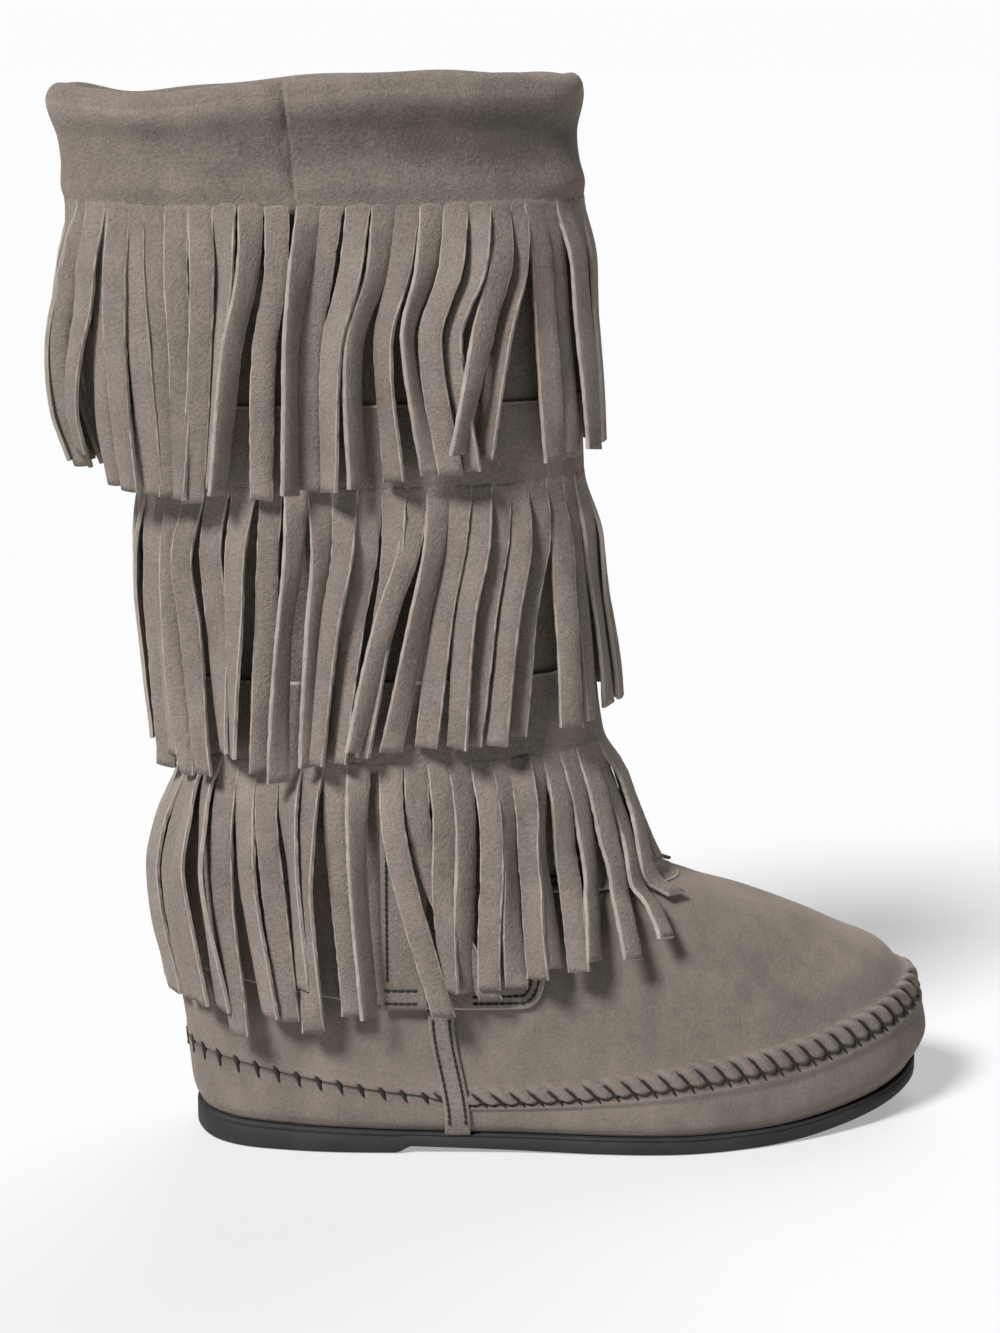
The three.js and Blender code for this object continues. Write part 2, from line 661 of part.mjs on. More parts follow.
// A band round the boot whose lower edge is cut into strips. profile lists the band's section from
// the slits' inner side over the top to their outer side, as heights and distances out of the form.
function fringedBand({ profile, slits, lay, thickness, clear }) {
  const slitLevel = levelAtHeight(slits);
  const points = [];
  const triangles = [];
  const add = (point) => points.push(point) - 1;
  const wrap = (i) => i % COLUMNS.length;
  const heights = profile.map(({ height }) => levelAtHeight(height));
  const band = COLUMNS.map(({ turn, side }) =>
    profile.map(({ out }, k) => add(skinPoint(heights[k], turn, side, out))),
  );
  band.forEach((here, i) => {
    const next = band[wrap(i + 1)];
    for (let k = 0; k < profile.length - 1; k += 1) {
      triangles.push(here[k], next[k + 1], next[k], here[k], here[k + 1], next[k + 1]);
    }
  });
  STRIP_PLACES.forEach((place, i) => {
    const round = (i + 0.5) / STRIP_PLACES.length;
    const hang = {};
    for (const key of LAY_COLUMNS.slice(1)) {
      hang[key] = read(lay, "round", key, round) * FRINGE_LENGTH;
    }
    const edge = [];
    for (let k = 0; k <= place.parts; k += 1) edge.push(band[wrap(place.first + k)]);
    let above = [...edge.map((column) => column[0]), ...edge.map((column) => column.at(-1)).reverse()];
    const width = points[above[0]].distanceTo(points[above[place.parts]]);
    const loops = strip({
      slitLevel,
      endLevel: levelAtHeight(slits - FRINGE_LENGTH - hang.cut, place.turn),
      place,
      half: (width - STRIP_GAP) / 2,
      hang,
      lift: i % 2 ? STRIP_LIFT : 0,
      thickness,
      from: profile[0].out + clear,
    });
    for (const loop of loops) {
      const below = loop.map(add);
      below.forEach((corner, k) => {
        const m = (k + 1) % below.length;
        triangles.push(above[k], above[m], below[m], above[k], below[m], corner);
      });
      above = below;
    }
    for (let k = 0; k < place.parts; k += 1) {
      const back = above.length - 1 - k;
      triangles.push(above[k], above[k + 1], above[back - 1], above[k], above[back - 1], above[back]);
    }
  });
  return meshFrom(points, triangles);
}

const BAND_IN = SHAFT_OUT + GAP;
const BAND_OUT = BAND_IN + BAND_THICKNESS;
const CUFF_IN = BAND_IN + CUFF_PUFF;

function cuffWithFringe() {
  const top = SLITS_TOP + CUFF_HEIGHT;
  const hem = top - CUFF_HEM;
  const outer = CUFF_IN + CUFF_THICKNESS;
  const overEdge = SHAFT_TOP + GAP;
  const profile = [
    { height: SLITS_TOP, out: CUFF_IN },
    { height: SHAFT_TOP - CUFF_ROLL, out: CUFF_IN },
    { height: overEdge, out: SHAFT_OUT + GAP },
    { height: overEdge, out: 0 },
    { height: hem, out: 0 },
    { height: hem, out: -CUFF_THICKNESS },
    { height: SHAFT_TOP, out: -CUFF_THICKNESS },
    { height: top, out: GAP },
    { height: top, out: SHAFT_OUT - GAP },
    { height: SHAFT_TOP, out: outer - GAP },
    { height: SHAFT_TOP - CUFF_ROLL, out: outer },
    { height: SLITS_TOP, out: outer },
  ];
  return fringedBand({
    profile,
    slits: SLITS_TOP,
    lay: UPPER_LAY,
    thickness: CUFF_THICKNESS,
    clear: CUFF_STRIP_CLEAR,
  });
}

function fringeRow(slits, lay, clear) {
  const top = slits + BAND_HEIGHT;
  const profile = [
    { height: slits, out: BAND_IN },
    { height: top, out: BAND_IN },
    { height: top, out: BAND_OUT },
    { height: slits, out: BAND_OUT },
  ];
  return fringedBand({ profile, slits, lay, thickness: BAND_THICKNESS, clear });
}

const SUEDE = { color: 0x8f8478, roughness: 0.95, metalness: 0 };
const BAND_SUEDE = { color: 0x938a7e, roughness: 0.95, metalness: 0 };
const RUBBER = { color: 0x2c2d2e, roughness: 0.6, metalness: 0 };
const LINING = { color: 0x6f655c, roughness: 0.9, metalness: 0 };

function piece(name, geometry, finish) {
  const mesh = new THREE.Mesh(geometry, new THREE.MeshStandardMaterial(finish));
  mesh.name = name;
  return mesh;
}

const boot = new THREE.Group();
boot.name = "moccasin_boot";
boot.add(piece("outsole", outsole(), RUBBER));
boot.add(piece("insole", insole(), LINING));
boot.add(piece("foot_upper", footUpper(), SUEDE));
boot.add(piece("shaft", shaft(), SUEDE));
boot.add(piece("strap_outer", footStrap(-1), BAND_SUEDE));
boot.add(piece("strap_inner", footStrap(1), BAND_SUEDE));
boot.add(piece("side_strip_outer", sideStrip(-1), BAND_SUEDE));
boot.add(piece("side_strip_inner", sideStrip(1), BAND_SUEDE));
boot.add(piece("cuff_fringe", cuffWithFringe(), BAND_SUEDE));
boot.add(piece("middle_fringe", fringeRow(MIDDLE_SLITS, MIDDLE_LAY, MIDDLE_STRIP_CLEAR), BAND_SUEDE));
boot.add(piece("lower_fringe", fringeRow(LOWER_SLITS, LOWER_LAY, LOWER_STRIP_CLEAR), BAND_SUEDE));

export default boot;
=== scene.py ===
"""A fringed moccasin boot in grey-taupe suede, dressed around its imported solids.

Every piece lies on one surface: rings up the foot, then rings up the shaft, joined by smooth curves.
A place on it is a level (0 at the sole, 18 at the collar), an angle round the boot (0 at the back,
pi at the front, the outer side first) and a distance out from it. All sizes are in metres.
"""

import math
import random

import bmesh
import bpy
import numpy as np
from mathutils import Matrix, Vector


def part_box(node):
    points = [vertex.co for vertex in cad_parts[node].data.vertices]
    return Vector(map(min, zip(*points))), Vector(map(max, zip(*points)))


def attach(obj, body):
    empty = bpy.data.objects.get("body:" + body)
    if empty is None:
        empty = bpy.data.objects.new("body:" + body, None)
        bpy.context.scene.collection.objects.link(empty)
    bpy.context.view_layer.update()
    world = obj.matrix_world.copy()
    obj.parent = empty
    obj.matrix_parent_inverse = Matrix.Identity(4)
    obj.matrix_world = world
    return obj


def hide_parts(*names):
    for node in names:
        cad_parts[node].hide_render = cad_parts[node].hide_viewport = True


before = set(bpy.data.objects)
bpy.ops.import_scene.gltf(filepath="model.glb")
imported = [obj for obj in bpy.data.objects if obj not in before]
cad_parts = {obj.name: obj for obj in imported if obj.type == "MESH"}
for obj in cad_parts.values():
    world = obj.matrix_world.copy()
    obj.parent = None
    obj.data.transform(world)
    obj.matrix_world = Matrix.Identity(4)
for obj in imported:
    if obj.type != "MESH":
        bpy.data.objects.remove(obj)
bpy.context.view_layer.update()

bl_info = {
    "name": "Fringed moccasin boot",
    "version": (1, 0, 0),
    "blender": (4, 5, 0),
    "location": "3D View > Sidebar > Boot",
    "description": "Suede, fringe, stitching and sole of a calf-high moccasin boot",
    "category": "Object",
}

MM = 0.001
OUTER = -1
INNER = 1
SIDES = [[OUTER, "outer"], [INNER, "inner"]]
CUFF_TOP_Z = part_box("cuff_fringe")[1].z

# Rings of the foot: back and front along its length, heights at four places, half widths at six.
RISE_PLACES = [0, 0.36, 0.72, 1]
WIDTH_PLACES = [0, 0.12, 0.4, 0.66, 0.88, 1]
FOOT_RINGS = [
    [0.006, 0.996, 0, 0, 0, 0, 0.655, 0.505, 0.39, 0.515, 0.565, 0.64],
    [-0.003, 1.014, 0.08, 0.05, 0.07, 0.1, 0.66, 0.53, 0.41, 0.53, 0.59, 0.66],
    [-0.008, 0.994, 0.235, 0.128, 0.235, 0.29, 0.66, 0.533, 0.412, 0.525, 0.585, 0.65],
    [-0.011, 0.976, 0.3, 0.19, 0.29, 0.345, 0.65, 0.53, 0.41, 0.52, 0.57, 0.64],
    [-0.016, 0.945, 0.39, 0.275, 0.375, 0.445, 0.63, 0.52, 0.405, 0.51, 0.565, 0.62],
    [-0.023, 0.898, 0.5, 0.39, 0.46, 0.525, 0.6, 0.5, 0.4, 0.485, 0.535, 0.59],
    [-0.033, 0.835, 0.62, 0.53, 0.57, 0.627, 0.565, 0.48, 0.394, 0.455, 0.49, 0.55],
    [-0.037, 0.768, 0.745, 0.69, 0.68, 0.71, 0.53, 0.455, 0.388, 0.425, 0.45, 0.5],
    [-0.035, 0.693, 0.87, 0.855, 0.79, 0.773, 0.5, 0.435, 0.385, 0.4, 0.41, 0.45],
    [-0.02, 0.606, 1, 1.02, 0.93, 0.885, 0.48, 0.425, 0.385, 0.38, 0.375, 0.4],
]
# Rings of the shaft: height, back and front between ankle and collar, half widths at tail, side, tip.
SHAFT_RINGS = [
    [0.083, -0.24, 0.54, 0.64, 0.6, 0.62],
    [0.207, -0.17, 0.72, 0.62, 0.575, 0.61],
    [0.33, 0, 0.82, 0.61, 0.55, 0.6],
    [0.463, 0.17, 0.86, 0.6, 0.53, 0.6],
    [0.58, 0.48, 0.9, 0.6, 0.52, 0.6],
    [0.68, 0.69, 0.92, 0.6, 0.515, 0.6],
    [0.785, 0.76, 0.92, 0.6, 0.51, 0.6],
    [0.91, 0.9, 0.96, 0.6, 0.505, 0.6],
    [1, 1, 1, 0.6, 0.5, 0.6],
]
COLLAR_LEVEL = len(FOOT_RINGS) + len(SHAFT_RINGS) - 1
# How far the foot swings inwards towards the toe: place along the foot, share of the swing.
SWING = [[0, 0], [0.15, 0], [0.4, -0.3], [0.62, -0.1], [0.8, 0.32], [1, 1]]
# Underside of the sole: place along the foot, share of the heel step, share of the toe spring.
SOLE_LINE = [
    [0, 0.35, 0],
    [0.008, 0.12, 0],
    [0.025, 0, 0],
    [0.27, 0, 0],
    [0.285, 1, 0],
    [0.34, 0.75, 0],
    [0.4, 0.42, 0],
    [0.46, 0.15, 0],
    [0.52, 0, 0],
    [0.75, 0, 0],
    [0.81, 0, 0.07],
    [0.87, 0, 0.26],
    [0.92, 0, 0.48],
    [0.96, 0, 0.71],
    [0.985, 0, 0.88],
    [1, 0, 1],
]

# The strips of each fringe row, from the back round to the front of the outer side.
# turn at the slit, a quarter of the way, half way and at the end in degrees, width seen half way and
# at the end in millimetres, length in millimetres, layer, and how far the end hangs off the boot in
# millimetres.
UPPER_STRIPS = [
    [5, 5, 4, 2, 8, 8, 87, 0, 11],
    [13, 10, 8, 4, 7, 7, 84, 2, 11],
    [20, 15, 11, 6, 6, 6, 86, 1, 10],
    [27, 23.5, 22, 10, 8, 8, 81, 2, 10],
    [32, 28.5, 27, 17, 8, 8, 91, 0, 8],
    [36, 34, 33, 25, 8, 8, 92, 2, 6],
    [41, 39.5, 40, 31.5, 8, 8, 93, 1, 5],
    [47, 46.5, 46, 37, 8, 7, 93, 0, 4],
    [54, 52, 51.5, 40, 8, 7, 94, 1, 3],
    [60, 59, 57, 44, 8, 8, 95, 2, 3],
    [66, 64.5, 62, 50, 6, 4, 90, 0, 3],
    [72.5, 70, 65, 52, 6, 4, 92, 1, 2],
    [78.5, 76.5, 72.5, 63, 8, 8, 94, 0, 1],
    [86, 82, 79, 71.5, 5, 4.5, 92, 1, 1],
    [91, 87, 83.5, 76.5, 8, 8, 91, 0, 1],
    [97, 93.5, 88.5, 81.5, 6.5, 5, 91, 1, 1],
    [103, 99.5, 93.5, 88.5, 6, 5.5, 90, 0, 1],
    [108.5, 105, 100.5, 98, 6, 6, 88, 0, 1],
    [114.5, 111, 106, 108, 5, 8, 86, 1, 1],
    [120.5, 117, 111.5, 112.5, 7, 8, 86, 2, 1],
    [126.5, 123.5, 117, 118, 5, 6, 85, 1, 1],
    [132.5, 130, 125, 114.5, 8, 6, 79, 3, 1],
    [138, 135.5, 131, 122, 5, 5, 82, 0, 0],
    [144, 144, 145, 145, 8, 8, 84, 1, 1],
    [150.5, 151, 152, 153, 8, 8, 83, 0, 2],
    [157, 158, 159, 160, 8, 8, 81, 2, 3],
    [165, 165.5, 166, 167, 8, 8, 81, 0, 3],
    [174, 174, 174, 173, 8, 8, 80, 1, 3],
]
MIDDLE_STRIPS = [
    [5, 3, 2, 2, 8, 8, 90, 0, 5],
    [14, 7, 4, 3, 7, 7, 88, 1, 4],
    [20, 16, 13, 11, 7, 7, 97, 0, 4],
    [29, 22, 19, 15, 8, 8, 92, 1, 3],
    [35.5, 28, 25, 22, 6, 8, 98, 0, 3],
    [42.5, 34.5, 34, 32.5, 8, 8, 96, 2, 2],
    [50.5, 44, 43, 40, 8, 6, 88, 0, 2],
    [58.5, 53, 50, 44, 7, 4.5, 89, 1, 2],
    [66, 62, 58.5, 51, 8, 7, 94, 0, 1],
    [73, 69.5, 64.5, 57.5, 3, 7, 96, 2, 1],
    [79, 77, 72.5, 66, 5, 5, 91, 0, 1],
    [85.5, 82.5, 77, 68, 7, 6, 90, 1, 1],
    [92, 88.5, 83, 74, 8, 7, 90, 0, 1],
    [98, 95.5, 91, 80.5, 6, 6, 88, 0, 1],
    [104, 99.5, 92, 79, 8, 5, 85, 2, 1],
    [110, 106, 100.5, 88.5, 7, 8, 86, 1, 1],
    [116, 112, 107, 98, 7, 7, 85, 0, 1],
    [122, 118.5, 113, 106, 6, 5, 85, 1, 1],
    [128, 124.5, 119.5, 110, 7, 7, 85, 0, 1],
    [134, 131.5, 126, 117, 6, 6, 85, 1, 1],
    [141, 139, 133, 123.5, 7, 7.5, 83, 0, 1],
    [149, 148, 146.5, 142.5, 7.5, 7, 82, 1, 2],
    [158, 158, 157.5, 152, 8, 7.5, 81, 0, 3],
    [166, 166, 166, 164, 8, 8, 78, 1, 3],
    [175, 175, 175, 174, 8, 8, 77, 2, 3],
]
LOWER_STRIPS = [
    [4, 4, 4, 4, 8, 8, 86, 0, -2],
    [11, 11.5, 12, 13, 8, 8, 85, 1, -3],
    [17.5, 19.5, 21, 22, 8, 8, 85, 0, -1],
    [24, 26, 27.5, 28, 7, 7, 84, 1, 0],
    [31, 33, 35.5, 33, 4, 6, 85, 0, 1],
    [38.5, 40.5, 41, 36, 8, 7, 93, 1, 1],
    [46, 47.5, 48, 44.5, 7, 6, 86, 0, 1],
    [53, 54, 54, 48, 8, 8, 88, 1, 1],
    [60, 60, 60, 54, 4.5, 5, 76, 0, 1],
    [66.5, 65, 61.5, 52.5, 5, 8, 91, 1, 1],
    [73, 72, 69.5, 61.5, 8, 8, 86, 0, 1],
    [79.5, 77.5, 73.5, 65, 5, 5, 85, 1, 1],
    [88, 86.5, 84, 78.5, 8, 8.5, 85, 2, 1],
    [95, 93, 91, 88, 8, 8.5, 80, 0, 1],
    [101, 99.5, 94.5, 82.5, 8, 6, 76, 1, 1],
    [107, 105, 99.5, 84.5, 7, 7, 77, 0, 1],
    [113, 111.5, 106.5, 89, 7.5, 8, 76, 1, 1],
    [119, 117, 111.5, 93.5, 6.5, 8, 76, 0, 1],
    [125, 122, 117, 98.5, 4.5, 7.5, 72, 1, 1],
    [131, 126.5, 121.5, 102.5, 5, 6, 69, 0, 1],
    [137, 134, 129, 106, 8, 7, 70, 1, 1],
    [144, 142, 137.5, 110, 7.5, 6, 67, 0, 2],
    [152.5, 150, 146, 117, 8, 7.5, 67, 1, 3],
    [162, 160.5, 157, 128, 8, 7, 62, 0, 4],
    [169, 168, 166, 150, 8, 8, 52, 2, 1],
    [176, 176, 175, 168, 8, 8, 44, 1, 1],
]
# The rows of fringe: name, height of the slits, distance out of the strips at the slits, and strips.
FRINGE_ROWS = [
    ["upper", 0.316, 0.00433, UPPER_STRIPS],
    ["middle", 0.226, 0.00302, MIDDLE_STRIPS],
    ["lower", 0.136, 0.00302, LOWER_STRIPS],
]

# Creases of the shaft: side, x and z of the middle, length, half width and depth in millimetres,
# and the slope in degrees. A depth below nought is a ridge.
SHAFT_CREASES = [
    [OUTER, 20, 96, 70, 9, 1.6, -8],
    [OUTER, 60, 112, 60, 8, 1.4, 14],
    [OUTER, -20, 112, 50, 9, 1.5, -24],
    [OUTER, 75, 88, 45, 8, 1.2, 30],
    [OUTER, 30, 190, 80, 12, 1.2, 6],
    [OUTER, 90, 150, 50, 8, 1.2, -40],
    [INNER, 18, 98, 72, 9, 1.6, -6],
    [INNER, 62, 114, 60, 8, 1.4, 16],
    [INNER, -22, 116, 50, 9, 1.5, -22],
    [INNER, 72, 86, 45, 8, 1.2, 28],
    [INNER, 32, 192, 80, 12, 1.2, 5],
]
# The cuff's top edge and the trough under its roll: turn from the back in degrees, rise of the edge,
# depth of the trough and height of its middle over the slits, in millimetres.
CUFF_EDGE = [
    [0, 0, 1.0, 18],
    [20, 0, 1.5, 18],
    [45, -3.2, 2.0, 18],
    [66, -1.2, 1.5, 17],
    [88, 1.5, 2.0, 18.5],
    [115, 3, 2.5, 19.5],
    [136, 2.6, 2.6, 19.5],
    [155, 2.4, 2.4, 19.5],
    [180, 2.2, 1.4, 19],
]
# Troughs in the cuff: turn round the boot in degrees, width in degrees, depth in millimetres.
CUFF_FOLDS = [
    [30, 9, 0.6],
    [52, 10, -0.6],
    [72, 6, 0.4],
    [100, 9, -0.4],
    [116, 7, 0.3],
    [138, 8, 0.7],
    [158, 8, -0.6],
    [200, 9, 0.7],
    [226, 9, -0.5],
    [255, 8, 0.5],
    [318, 8, 0.6],
]


def length_setting(name, description, default):
    return bpy.props.FloatProperty(name=name, description=description, default=default, unit="LENGTH")


def colour_setting(name, description, default):
    return bpy.props.FloatVectorProperty(
        name=name, description=description, default=default, subtype="COLOR", size=3
    )


class BootSizes(bpy.types.PropertyGroup):
    """Sizes of the boot that a user would change."""

    foot_length: length_setting("Foot length", "Length of the foot without the sole's lip", 0.254)
    ball_width: length_setting("Ball width", "Width across the ball of the foot", 0.088)
    collar_length: length_setting("Collar length", "The shaft's opening from back to front", 0.160)
    collar_width: length_setting("Collar width", "The shaft's opening from side to side", 0.055)
    strip_width: length_setting("Strip width", "Width of a fringe strip", 0.0084)
    strip_thickness: length_setting("Strip thickness", "Thickness of a fringe strip", 0.0015)
    crease_depth: bpy.props.FloatProperty(
        name="Crease depth",
        description="How deep the shaft's creases are, 1 as worn",
        default=1.0,
        min=0,
        max=2,
        subtype="FACTOR",
    )


class BootColours(bpy.types.PropertyGroup):
    """Colours of the boot that a user would change."""

    suede: colour_setting("Suede", "Brushed suede", (0.205, 0.174, 0.149))
    edge: colour_setting("Cut edge", "Cut edge of the suede", (0.34, 0.30, 0.262))
    rubber: colour_setting("Rubber", "Moulded sole", (0.014, 0.014, 0.0145))
    thread: colour_setting("Thread", "Seam thread", (0.017, 0.0165, 0.0155))
    lining: colour_setting("Lining", "Unlined back of the leather", (0.12, 0.10, 0.085))
    floor: colour_setting("Floor", "Studio floor", (0.42, 0.42, 0.42))


def mix(low, high, share):
    return low + (high - low) * share


def smooth(low, high, value):
    share = np.clip((np.asarray(value, float) - low) / (high - low), 0, 1)
    return share * share * (3 - 2 * share)


def bump(distance, width):
    """A soft hump of height 1 that ends at the given distance."""
    share = np.clip(1 - (distance / width) ** 2, 0, 1)
    return share * share


def unit(vectors):
    return vectors / np.linalg.norm(vectors, axis=-1, keepdims=True)


def curve(keys, values, x):
    """A smooth curve through values at keys; values may differ from place to place."""
    keys = np.asarray(keys, float)
    x = np.asarray(x, float)
    values = np.broadcast_to(np.asarray(values, float), x.shape + (len(keys),))
    last = len(keys) - 1
    low = np.minimum(np.searchsorted(keys[1:], x), last - 1)

    def value(key):
        return np.take_along_axis(values, key[..., None], -1)[..., 0]

    def slope(key):
        before = np.maximum(key - 1, 0)
        after = np.minimum(key + 1, last)
        return (value(after) - value(before)) / (keys[after] - keys[before])

    span = keys[low + 1] - keys[low]
    t = np.clip((x - keys[low]) / span, 0, 1)
    t2 = t * t
    t3 = t2 * t
    return (
        (2 * t3 - 3 * t2 + 1) * value(low)
        + (t3 - 2 * t2 + t) * span * slope(low)
        + (3 * t2 - 2 * t3) * value(low + 1)
        + (t3 - t2) * span * slope(low + 1)
    )


class Form:
    """The boot's surface, worked out from its sizes as the solids are."""

    heel_setback = 0.036
    heel_thickness = 0.010
    forefoot_thickness = 0.0062
    heel_step = 0.0024
    toe_spring = 0.010
    toe_swing = 0.009
    shaft_swing = 0.55
    foot_height = 0.100
    shaft_length = 0.242
    collar_overhang = 0.029
    collar_rise = 0.006
    gap = 0.0003
    sole_taper = (-0.08, 0.55)
    ring_steps = 100

    def __init__(self, sizes):
        self.foot_length = sizes.foot_length
        rings = []
        for back, front, *rest in FOOT_RINGS:
            rises = [share * self.foot_height for share in rest[:4]]
            halves = [share * sizes.ball_width for share in rest[4:]]
            ends = [share * self.foot_length - self.heel_setback for share in (back, front)]
            rings.append([*ends, 1, *rises, *halves])
        ankle_back, ankle_front = rings[-1][:2]
        collar_back = ankle_back - self.collar_overhang
        ankle_top = self.heel_thickness + self.foot_height
        for height, back, front, tail, side, tip in SHAFT_RINGS:
            tilt = [self.collar_rise * (place - 0.5) for place in RISE_PLACES]
            rises = [ankle_top + height * (self.shaft_length + rise) for rise in tilt]
            halves = [tail, (tail + side) / 2, side, side, (tip + side) / 2, tip]
            ends = [
                mix(ankle_back, collar_back, back),
                mix(ankle_front, collar_back + sizes.collar_length, front),
            ]
            rings.append([*ends, 0, *rises, *[share * sizes.collar_width for share in halves]])
        levels = np.linspace(0, COLLAR_LEVEL, COLLAR_LEVEL * self.ring_steps + 1)
        columns = [curve(range(len(rings)), column, levels) for column in np.array(rings).T]
        self.rings = np.stack(columns, -1)
        self.swing = np.array(SWING, float)
        self.sole = np.array(SOLE_LINE, float)

    def ring(self, level):
        """The sizes of the ring at a level, between two of the finely stepped rings."""
        place = np.clip(np.asarray(level, float), 0, COLLAR_LEVEL) * self.ring_steps
        low = np.minimum(place.astype(int), len(self.rings) - 2)
        return mix(self.rings[low], self.rings[low + 1], (place - low)[..., None])

    def length_share(self, x):
        return np.clip((x + self.heel_setback) / self.foot_length, 0, 1)

    def swing_at(self, x):
        return self.toe_swing * curve(self.swing[:, 0], self.swing[:, 1], self.length_share(x))

    def sole_bottom(self, x):
        share = self.length_share(x)
        step = np.interp(share, self.sole[:, 0], self.sole[:, 1])
        spring = curve(self.sole[:, 0], self.sole[:, 2], share)
        return self.heel_step * step + self.toe_spring * spring

    def sole_top(self, x):
        share = self.length_share(x)
        thickness = mix(self.forefoot_thickness, self.heel_thickness, 1 - smooth(*self.sole_taper, share))
        return thickness + self.toe_spring * curve(self.sole[:, 0], self.sole[:, 2], share)

    def point(self, level, angle):
        level, angle = np.broadcast_arrays(np.asarray(level, float), np.asarray(angle, float))
        ring = self.ring(level)
        along = (1 - np.cos(angle)) / 2
        x = mix(ring[..., 0], ring[..., 1], along)
        half = -np.sin(angle) * curve(WIDTH_PLACES, ring[..., 7:13], along)
        rise = curve(RISE_PLACES, ring[..., 3:7], along)
        on_sole = ring[..., 2]
        y = self.swing_at(x) * mix(self.shaft_swing, 1, on_sole) + half
        return np.stack([x, y, rise + on_sole * (self.sole_top(x) + self.gap)], -1)

    def normal(self, level, angle):
        across = self.point(level, angle + 0.02) - self.point(level, angle - 0.02)
        above = self.point(np.minimum(level + 0.05, COLLAR_LEVEL), angle)
        below = self.point(np.maximum(level - 0.05, 0), angle)
        return unit(np.cross(across, above - below))

    def skin(self, level, angle, out):
        """Points at the given distance out from the surface."""
        level, angle, out = np.broadcast_arrays(*(np.asarray(v, float) for v in (level, angle, out)))
        return self.point(level, angle) + self.normal(level, angle) * out[..., None]

    def level_at(self, height, angle):
        """The level whose surface has the given height at an angle."""
        height, angle = np.broadcast_arrays(np.asarray(height, float), np.asarray(angle, float))
        low = np.zeros(height.shape)
        high = np.full(height.shape, float(COLLAR_LEVEL))
        for _ in range(18):
            middle = (low + high) / 2
            under = self.point(middle, angle)[..., 2] < height
            low = np.where(under, middle, low)
            high = np.where(under, high, middle)
        return (low + high) / 2

    def place(self, x, height, side):
        """The level and angle of the surface at a given x and height, on the outer or inner side."""
        x, height = np.broadcast_arrays(np.asarray(x, float), np.asarray(height, float))
        turn = np.full(x.shape, math.pi / 2)
        for _ in range(5):
            level = self.level_at(height, turn)
            ring = self.ring(level)
            along = np.clip((x - ring[..., 0]) / (ring[..., 1] - ring[..., 0]), 0.001, 0.999)
            turn = np.arccos(1 - 2 * along)
        return level, turn if side == OUTER else 2 * math.pi - turn

    def on_skin(self, x, height, side, out):
        level, angle = self.place(x, height, side)
        return self.skin(level, angle, out)


LEVEL_HEIGHT = Form.foot_height / 9
SEAM_LEVEL = 2


# The shaft's lower edge: its rise over the first ring, its climb over the instep, and the shares of
# the way from back to front where the climb starts and ends.
LAP_HEIGHT = 0.049
LAP_CLIMB = 0.033
LAP_PLACES = (0.51, 0.72)


def lap_level(angle):
    """The level of the shaft's lower edge."""
    along = (1 - np.cos(angle)) / 2
    return (LAP_HEIGHT + LAP_CLIMB * smooth(*LAP_PLACES, along)) / LEVEL_HEIGHT + 1


class Shader:
    """The nodes of one material."""

    def __init__(self, name):
        self.material = bpy.data.materials.new(name)
        self.material.use_nodes = True
        self.tree = self.material.node_tree
        self.surface = self.tree.nodes["Principled BSDF"]

    def node(self, kind, settings=None, **inputs):
        """A node of a type: its settings are set first, then its sockets' values or links."""
        node = self.tree.nodes.new(kind)
        for name, value in (settings or {}).items():
            if name == "stops":
                self.set_stops(node.color_ramp, value)
            else:
                setattr(node, name, value)
        for name, value in inputs.items():
            self.feed(node.inputs[self.socket_name(name)], value)
        return node

    @staticmethod
    def socket_name(name):
        return int(name[1:]) if name[0] == "n" and name[1:].isdigit() else name.replace("_", " ")

    @staticmethod
    def set_stops(ramp, stops):
        while len(ramp.elements) < len(stops):
            ramp.elements.new(1)
        for element, (place, colour) in zip(ramp.elements, stops):
            element.position = place
            element.color = (*colour, 1)

    def feed(self, socket, value):
        if isinstance(value, Value):
            value = value.socket
        if isinstance(value, bpy.types.NodeSocket):
            self.tree.links.new(value, socket)
        elif socket.type == "RGBA" and len(value) == 3:
            socket.default_value = (*value, 1)
        else:
            socket.default_value = value

    def value(self, socket):
        return Value(self, socket)

    def noise(self, scale, detail=3, roughness=0.55, stretch=(1, 1, 1), distortion=0):
        """Noise in the boot's own space, as a value from 0 to 1."""
        place = self.node("ShaderNodeTexCoord").outputs["Object"]
        if stretch != (1, 1, 1):
            stretched = self.node("ShaderNodeVectorMath", {"operation": "MULTIPLY"}, n0=place, n1=stretch)
            place = stretched.outputs[0]
        node = self.node(
            "ShaderNodeTexNoise",
            Vector=place,
            Scale=scale,
            Detail=detail,
            Roughness=roughness,
            Distortion=distortion,
        )
        return self.value(node.outputs[0])

    def blend(self, share, low, high):
        """A colour between two colours."""
        node = self.node("ShaderNodeMix", {"data_type": "RGBA"})
        self.feed(node.inputs[0], share)
        self.feed(node.inputs[6], low)
        self.feed(node.inputs[7], high)
        return node.outputs[2]

    def shades(self, share, colour, dark, light):
        """A colour between a darker and a lighter shade of one colour."""
        return self.blend(share, shade(colour, dark), shade(colour, light))

    def attribute(self, name):
        return self.value(self.node("ShaderNodeAttribute", {"attribute_name": name}).outputs["Fac"])

    def finish(self, colour, roughness, height=None, strength=0.5, distance=0.0005, **fixed):
        self.feed(self.surface.inputs["Base Color"], colour)
        self.feed(self.surface.inputs["Roughness"], roughness)
        for name, value in fixed.items():
            self.feed(self.surface.inputs[self.socket_name(name)], value)
        if height is not None:
            relief = self.node("ShaderNodeBump", Strength=strength, Distance=distance, Height=height)
            self.tree.links.new(relief.outputs[0], self.surface.inputs["Normal"])
        return self.material


